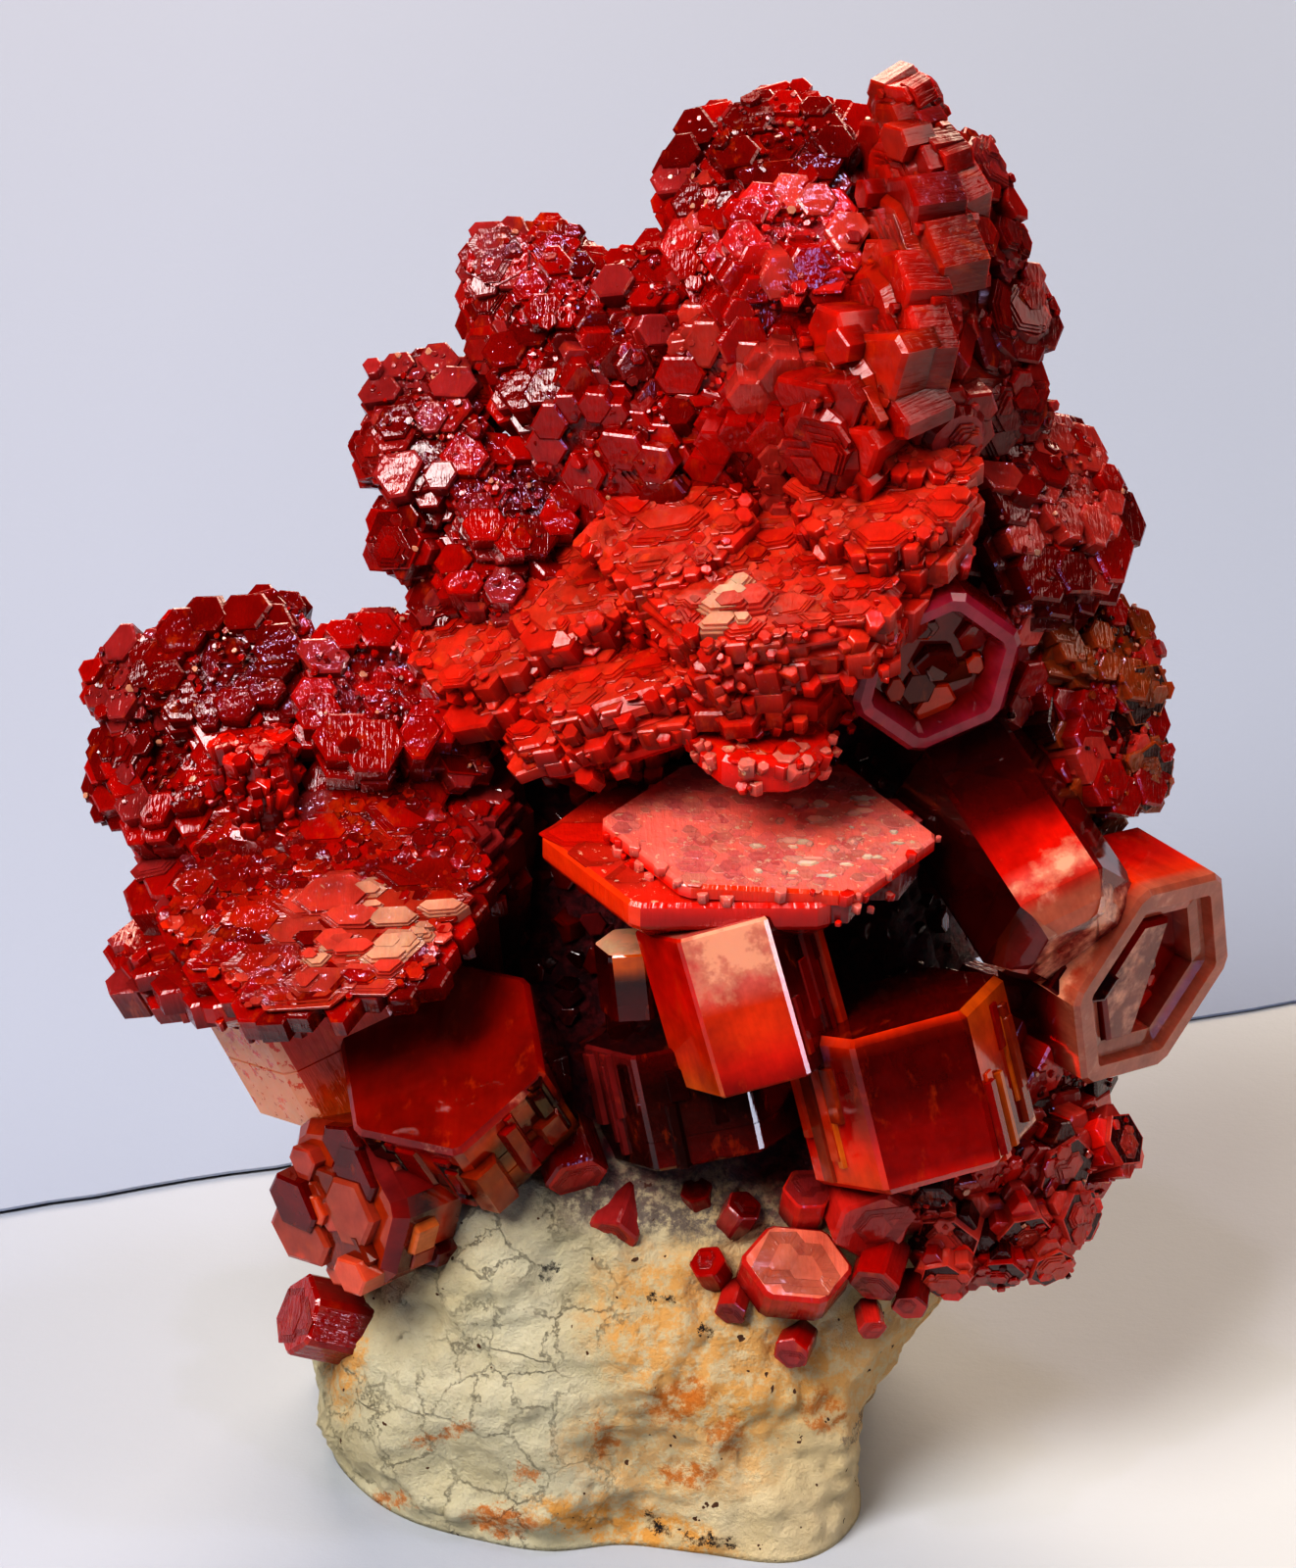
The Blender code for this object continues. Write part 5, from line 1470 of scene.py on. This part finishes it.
def rock_material():
    """Pale clay with fine cracks, ochre, rust and grey stains, black specks and a band of painted
    shade under the prisms, each in its place.
    """
    material, tree, shader = new_material("clay_rock_skin")
    _, millimetres = place_in(tree)
    axis = new_node(tree, "ShaderNodeSeparateXYZ", {0: millimetres}).outputs
    up = vector_node(tree, "DOT_PRODUCT", millimetres, UP).outputs["Value"]
    up = math_node(tree, "SUBTRACT", up, FACE_HEIGHT * UP[2])
    flat = new_node(tree, "ShaderNodeCombineXYZ", {0: axis["X"], 1: up}).outputs[0]
    ragged = new_node(tree, "ShaderNodeTexNoise", {
        "Vector": millimetres, "Scale": 1.1, "Detail": 7.0, "Roughness": 0.8}).outputs["Color"]
    ragged = scaled(tree, ragged, (STAIN_RAGGED, STAIN_RAGGED, 0.0))
    flat = vector_node(tree, "ADD", flat, ragged).outputs[0]
    front = spread(tree, axis["Y"], -3.0, 3.0, 1.0, 0.0)

    broad = noise_of(tree, millimetres, 0.22, 5.0, 0.6)
    colour = mix_colours(tree, spread(tree, broad, 0.35, 0.65), CLAY_SHADE, CLAY)
    chalk = noise_of(tree, millimetres, 1.1, 6.0, 0.7)
    colour = mix_colours(tree, spread(tree, chalk, 0.52, 0.72, 0.0, 0.4), colour, CLAY_DUST)
    warm = spread(tree, axis["X"], -4.0, 4.0, 0.0, 0.36)
    colour = mix_colours(tree, warm, colour, CLAY_WARM)
    patchy = spread(tree, noise_of(tree, millimetres, 1.6, 7.0, 0.75), 0.42, 0.54, 0.12, 1.0)
    front = math_node(tree, "MULTIPLY", front, patchy)
    for tint, across, high, wide, tall, turn, strength in ROCK_STAINS:
        place = new_node(tree, "ShaderNodeMapping", {
            "Vector": flat,
            "Location": (across + STAIN_RAGGED / 2, high + STAIN_RAGGED / 2, 0),
            "Rotation": (0, 0, math.radians(turn)), "Scale": (wide, tall, 1)},
            vector_type="TEXTURE").outputs[0]
        away = vector_node(tree, "LENGTH", place).outputs["Value"]
        inside = spread(tree, away, 0.8, 1.2, strength, 0.0)
        colour = mix_colours(tree, math_node(tree, "MULTIPLY", inside, front), colour, tint)
    pepper = noise_of(tree, millimetres, 1.7, 2.0, 0.5)
    peppered = spread(tree, axis["X"], -5.0, 3.0, 0.74, 0.70)
    specks = math_node(tree, "GREATER_THAN", pepper, peppered)
    colour = mix_colours(tree, specks, colour, (0.12, 0.05, 0.02, 1))

    warped = vector_node(tree, "ADD", millimetres, scaled(tree, ragged, (0.9, 0.9, 1.0)))
    cells = new_node(tree, "ShaderNodeTexVoronoi", {"Vector": warped.outputs[0], "Scale": 0.5},
                     feature="DISTANCE_TO_EDGE")
    crack = spread(tree, cells.outputs["Distance"], 0.0, 0.020, 1.0, 0.0)
    some = spread(tree, noise_of(tree, millimetres, 0.35, 2.0), 0.40, 0.62)
    left = spread(tree, axis["X"], -4.0, 0.0, 1.0, 0.0)
    crack = math_node(tree, "MULTIPLY", crack, math_node(tree, "MULTIPLY", left, some))
    colour = mix_colours(tree, math_node(tree, "MULTIPLY", crack, 0.45), colour,
                         (0.20, 0.16, 0.11, 1))
    edge = math_node(tree, "ADD", axis["Z"], math_node(tree, "MULTIPLY", broad, 8.0))
    edge = math_node(tree, "ADD", edge, spread(tree, axis["X"], -6.0, 8.0, 0.0, 2.5))
    crusted = spread(tree, edge, CRUST_FROM + 3.6, CRUST_FROM + 6.0)
    grains = spread(tree, noise_of(tree, millimetres, 2.6, 3.0, 0.7), 0.42, 0.58)
    deep = mix_colours(tree, grains, (0.05, 0.006, 0.010, 1), (0.16, 0.014, 0.020, 1))
    colour = mix_colours(tree, crusted, colour, deep)
    grain = noise_of(tree, millimetres, 2.2, 7.0, 0.72)
    relief = math_node(tree, "SUBTRACT", grain, math_node(tree, "MULTIPLY", crack, 0.5))
    fill(tree, shader, {
        "Base Color": colour,
        "Roughness": spread(tree, crusted, 0.0, 1.0, 0.85, 0.28),
        "Normal": bumped(tree, relief, 0.9, 0.0004),
    })
    return material


# Stage --------------------------------------------------------------------------------------


def add_camera():
    """The camera looks straight at the crystals' face, from VIEW_DISTANCE away."""
    data = bpy.data.cameras.new("camera")
    data.lens = LENS
    data.clip_end = 10
    camera = bpy.data.objects.new("camera", data)
    turn = Matrix((ACROSS, UP, OUT)).transposed()
    place = Vector((0, 0, FACE_HEIGHT)) + Vector(OUT) * VIEW_DISTANCE
    camera.matrix_world = Matrix.Translation(place * MM) @ turn.to_4x4()
    bpy.context.scene.collection.objects.link(camera)
    bpy.context.scene.camera = camera


TABLE_HALF = 1.5  # metres
TABLE_TINTS = ((0.37, 0.40, 0.45, 1), (0.46, 0.47, 0.45, 1))  # at the left and at the right
SHEET_TINTS = ((0.30, 0.34, 0.42, 1), (0.26, 0.30, 0.37, 1))
SHEET_EDGE = 0.0259  # metres: how far behind the middle the sheet's front edge crosses
SHEET_SLANT = 0.346  # how far back the edge runs for each metre to the right
PAPER_FAR = (0.08, 0.075, 0.075, 1)


def paper(name, mesh, left, right):
    """A matt sheet under the specimen, dark far from it: its tint runs from left to right."""
    sheet = bpy.data.objects.new(name, mesh)
    material, tree, shader = new_material(name + "_paper")
    where, millimetres = place_in(tree)
    axis = new_node(tree, "ShaderNodeSeparateXYZ", {0: where}).outputs
    colour = mix_colours(tree, spread(tree, axis["X"], -0.03, 0.035), left, right)
    away = vector_node(tree, "DISTANCE", where, (0.0, 0.10, 0.0)).outputs["Value"]
    colour = mix_colours(tree, spread(tree, away, 0.13, 0.24), colour, PAPER_FAR)
    fibres = noise_of(tree, millimetres, 0.9, 5.0, 0.7)
    fill(tree, shader, {"Base Color": colour, "Roughness": 0.9,
                        "Normal": bumped(tree, fibres, 0.25, 0.0001)})
    mesh.materials.append(material)
    bpy.context.scene.collection.objects.link(sheet)


def add_floor():
    """A white table with a lavender sheet on its far part, whose edge lifts a little."""
    half = TABLE_HALF
    points = np.array([(-half, -half, 0), (half, -half, 0), (half, half, 0), (-half, half, 0)])
    paper("table", new_mesh("table", points, np.arange(4), np.array([0])), *TABLE_TINTS)

    x = np.linspace(-half, half, SHEET_COLUMNS)
    torn = 0.00018 * lattice_noise(np.stack([x, 0 * x, 0 * x], -1), 0.0012, 21)
    edge = SHEET_EDGE + SHEET_SLANT * x + torn
    lift = 0.00024 - 0.002 * np.clip(x, -0.05, 0.05)
    rows = [np.stack([x, edge, lift - 0.00012], -1), np.stack([x, edge, lift], -1),
            np.stack([x, edge + 0.008, 0.3 * lift + 0.0001], -1),
            np.stack([x, edge + 0.03, 0 * x + 0.0001], -1),
            np.stack([x, edge + 2.0, 0 * x + 0.0001], -1)]
    here = np.arange(len(rows) * SHEET_COLUMNS).reshape(len(rows), SHEET_COLUMNS)
    walls = quads(here[:, :-1], here[:, 1:]).reshape(-1, 4)
    mesh = new_mesh("sheet", np.concatenate(rows), walls.reshape(-1), np.arange(len(walls)) * 4)
    paper("sheet", mesh, *SHEET_TINTS)


# The lights: name, place and size in metres, power in watts, and colour.
LIGHTS = [
    ("cream_window", (0.05, 0.50, 0.36), (0.50, 0.30), 3.2, (1.0, 0.82, 0.66)),
    ("front_fill", (-0.28, -0.30, 0.50), (0.34, 0.34), 4.3, (1.0, 0.97, 0.96)),
    ("sky_pane", (-0.02, 0.30, 0.48), (0.30, 0.14), 0.28, (1.0, 0.84, 0.72)),
    ("right_fill", (0.46, -0.06, 0.40), (0.30, 0.30), 0.75, (1.0, 0.90, 0.84)),
    ("violet_pane", (-0.06, -0.07, 0.45), (0.018, 0.018), 0.13, (0.70, 0.66, 1.0)),
    ("blue_pane", (0.12, -0.02, 0.42), (0.03, 0.05), 0.15, (0.62, 0.66, 1.0)),
    ("side_pane", (0.40, -0.27, 0.07), (0.05, 0.10), 0.12, (0.82, 0.84, 1.0)),
    ("blue_screen", (0.25, -0.40, 0.05), (0.08, 0.08), 0.2, (0.25, 0.45, 1.0)),
]


def add_light(name, place, size, power, colour, aim=(0.0, 0.0, 0.03)):
    """A rectangular soft light at `place`, turned towards the specimen."""
    data = bpy.data.lights.new(name, "AREA")
    data.shape = "RECTANGLE"
    data.size, data.size_y = size
    data.energy = power
    data.color = colour
    light = bpy.data.objects.new(name, data)
    direction = Vector(aim) - Vector(place)
    light.rotation_euler = direction.to_track_quat("-Z", "Y").to_euler()
    light.location = place
    bpy.context.scene.collection.objects.link(light)


def add_lights():
    """A dim lavender room, a cream window behind, a fill in front, and small violet panes."""
    world = bpy.data.worlds.new("room")
    bpy.context.scene.world = world
    world.use_nodes = True
    background = world.node_tree.nodes["Background"]
    background.inputs["Color"].default_value = (0.74, 0.70, 0.82, 1)
    background.inputs["Strength"].default_value = 0.025
    for light in LIGHTS:
        add_light(*light)


def set_stage():
    """The camera, the table and the lights, and how the picture is toned."""
    add_camera()
    add_floor()
    add_lights()
    view = bpy.context.scene.view_settings
    view.view_transform = "Standard"
    view.look = "High Contrast"


def grow_specimen():
    """Every piece in place of its CAD node: the crystals in five finishes, then the rock."""
    skin = crystal_skin()
    dark = crystal_material("dark_crystal_skin", skin, clear=0.15, ior=1.6, Roughness=0.06,
                            Streaks=0.12, Relief=0.6)
    bright = crystal_material("bright_crystal_skin", skin, glow=0.5, ior=1.45, Roughness=0.22,
                              Streaks=0.1, Veils=0.55, Glints=0.45)
    waxy = crystal_material("waxy_crystal_skin", skin, glow=0.6, ior=1.5, Roughness=0.20,
                            Streaks=0.05, Veils=0.6, Glints=0.3, Relief=0.5)
    frosted = crystal_material("frosted_crystal_skin", skin, glow=0.4, ior=1.6, Roughness=0.2,
                               Streaks=0.0, Veils=0.25, Glints=0.1, Fleck_Scale=2.6, Relief=0.7)
    clear = crystal_material("clear_crystal_skin", skin, clear=0.5, glow=0.3, density=250.0,
                             ior=1.65, Roughness=0.04, Streaks=0.1, Veils=0.6, Glints=0.3,
                             Relief=0.03, Frost_Edge=0.6, Fleck_Scale=0.7,
                             Frosted_Roughness=0.12)
    dark_slot, bright_slot = "dark_red_crystal", "bright_red_crystal"
    orange_slot = "clear_orange_crystal"

    for name, palette, heart in (
        ("crown", CROWN_COLOURS, RUBY),
        ("upper_left_finger", DARK_COLOURS, RUBY),
        ("middle_finger", DARK_COLOURS, OXBLOOD),
        ("upper_right_rosette", RIGHT_COLOURS, OXBLOOD),
        ("right_edge_rosette", EDGE_COLOURS, UMBER),
        ("druse", DRUSE_COLOURS, GARNET),
    ):
        rosettes(name, palette, heart).piece(name, dark_slot, dark)
    for name, grow, slot, finish in (
        ("back_druse", grow_back_druse, dark_slot, dark),
        ("crest", grow_crest, bright_slot, waxy),
        ("central_mass", grow_core, bright_slot, bright),
        ("left_fan", grow_fan, dark_slot, dark),
        ("big_tablet", grow_big_tablet, "frosted_red_crystal", frosted),
        ("lens_crystal", grow_lens, bright_slot, bright),
        ("hollow_tablet", grow_hollow_tablet, dark_slot, clear),
        ("right_block", grow_right_block, dark_slot, clear),
        ("dark_prism", grow_dark_prism, dark_slot, clear),
        ("small_prism", grow_small_prism, dark_slot, clear),
        ("front_prism", grow_front_prism, orange_slot, clear),
        ("wide_prism", grow_wide_prism, orange_slot, clear),
        ("right_tablet", grow_right_tablet, orange_slot, clear),
        ("lower_left_block", grow_lower_left_block, orange_slot, clear),
        ("corner_crystal", grow_corner_crystal, orange_slot, clear),
    ):
        grow().piece(name, slot, finish)
    for name in SINGLE_CRYSTALS:
        small_group(name).piece(name, dark_slot, dark)
    placed("matrix", grow_rock(), rock_material())


set_stage()
grow_specimen()
bpy.context.view_layer.update()
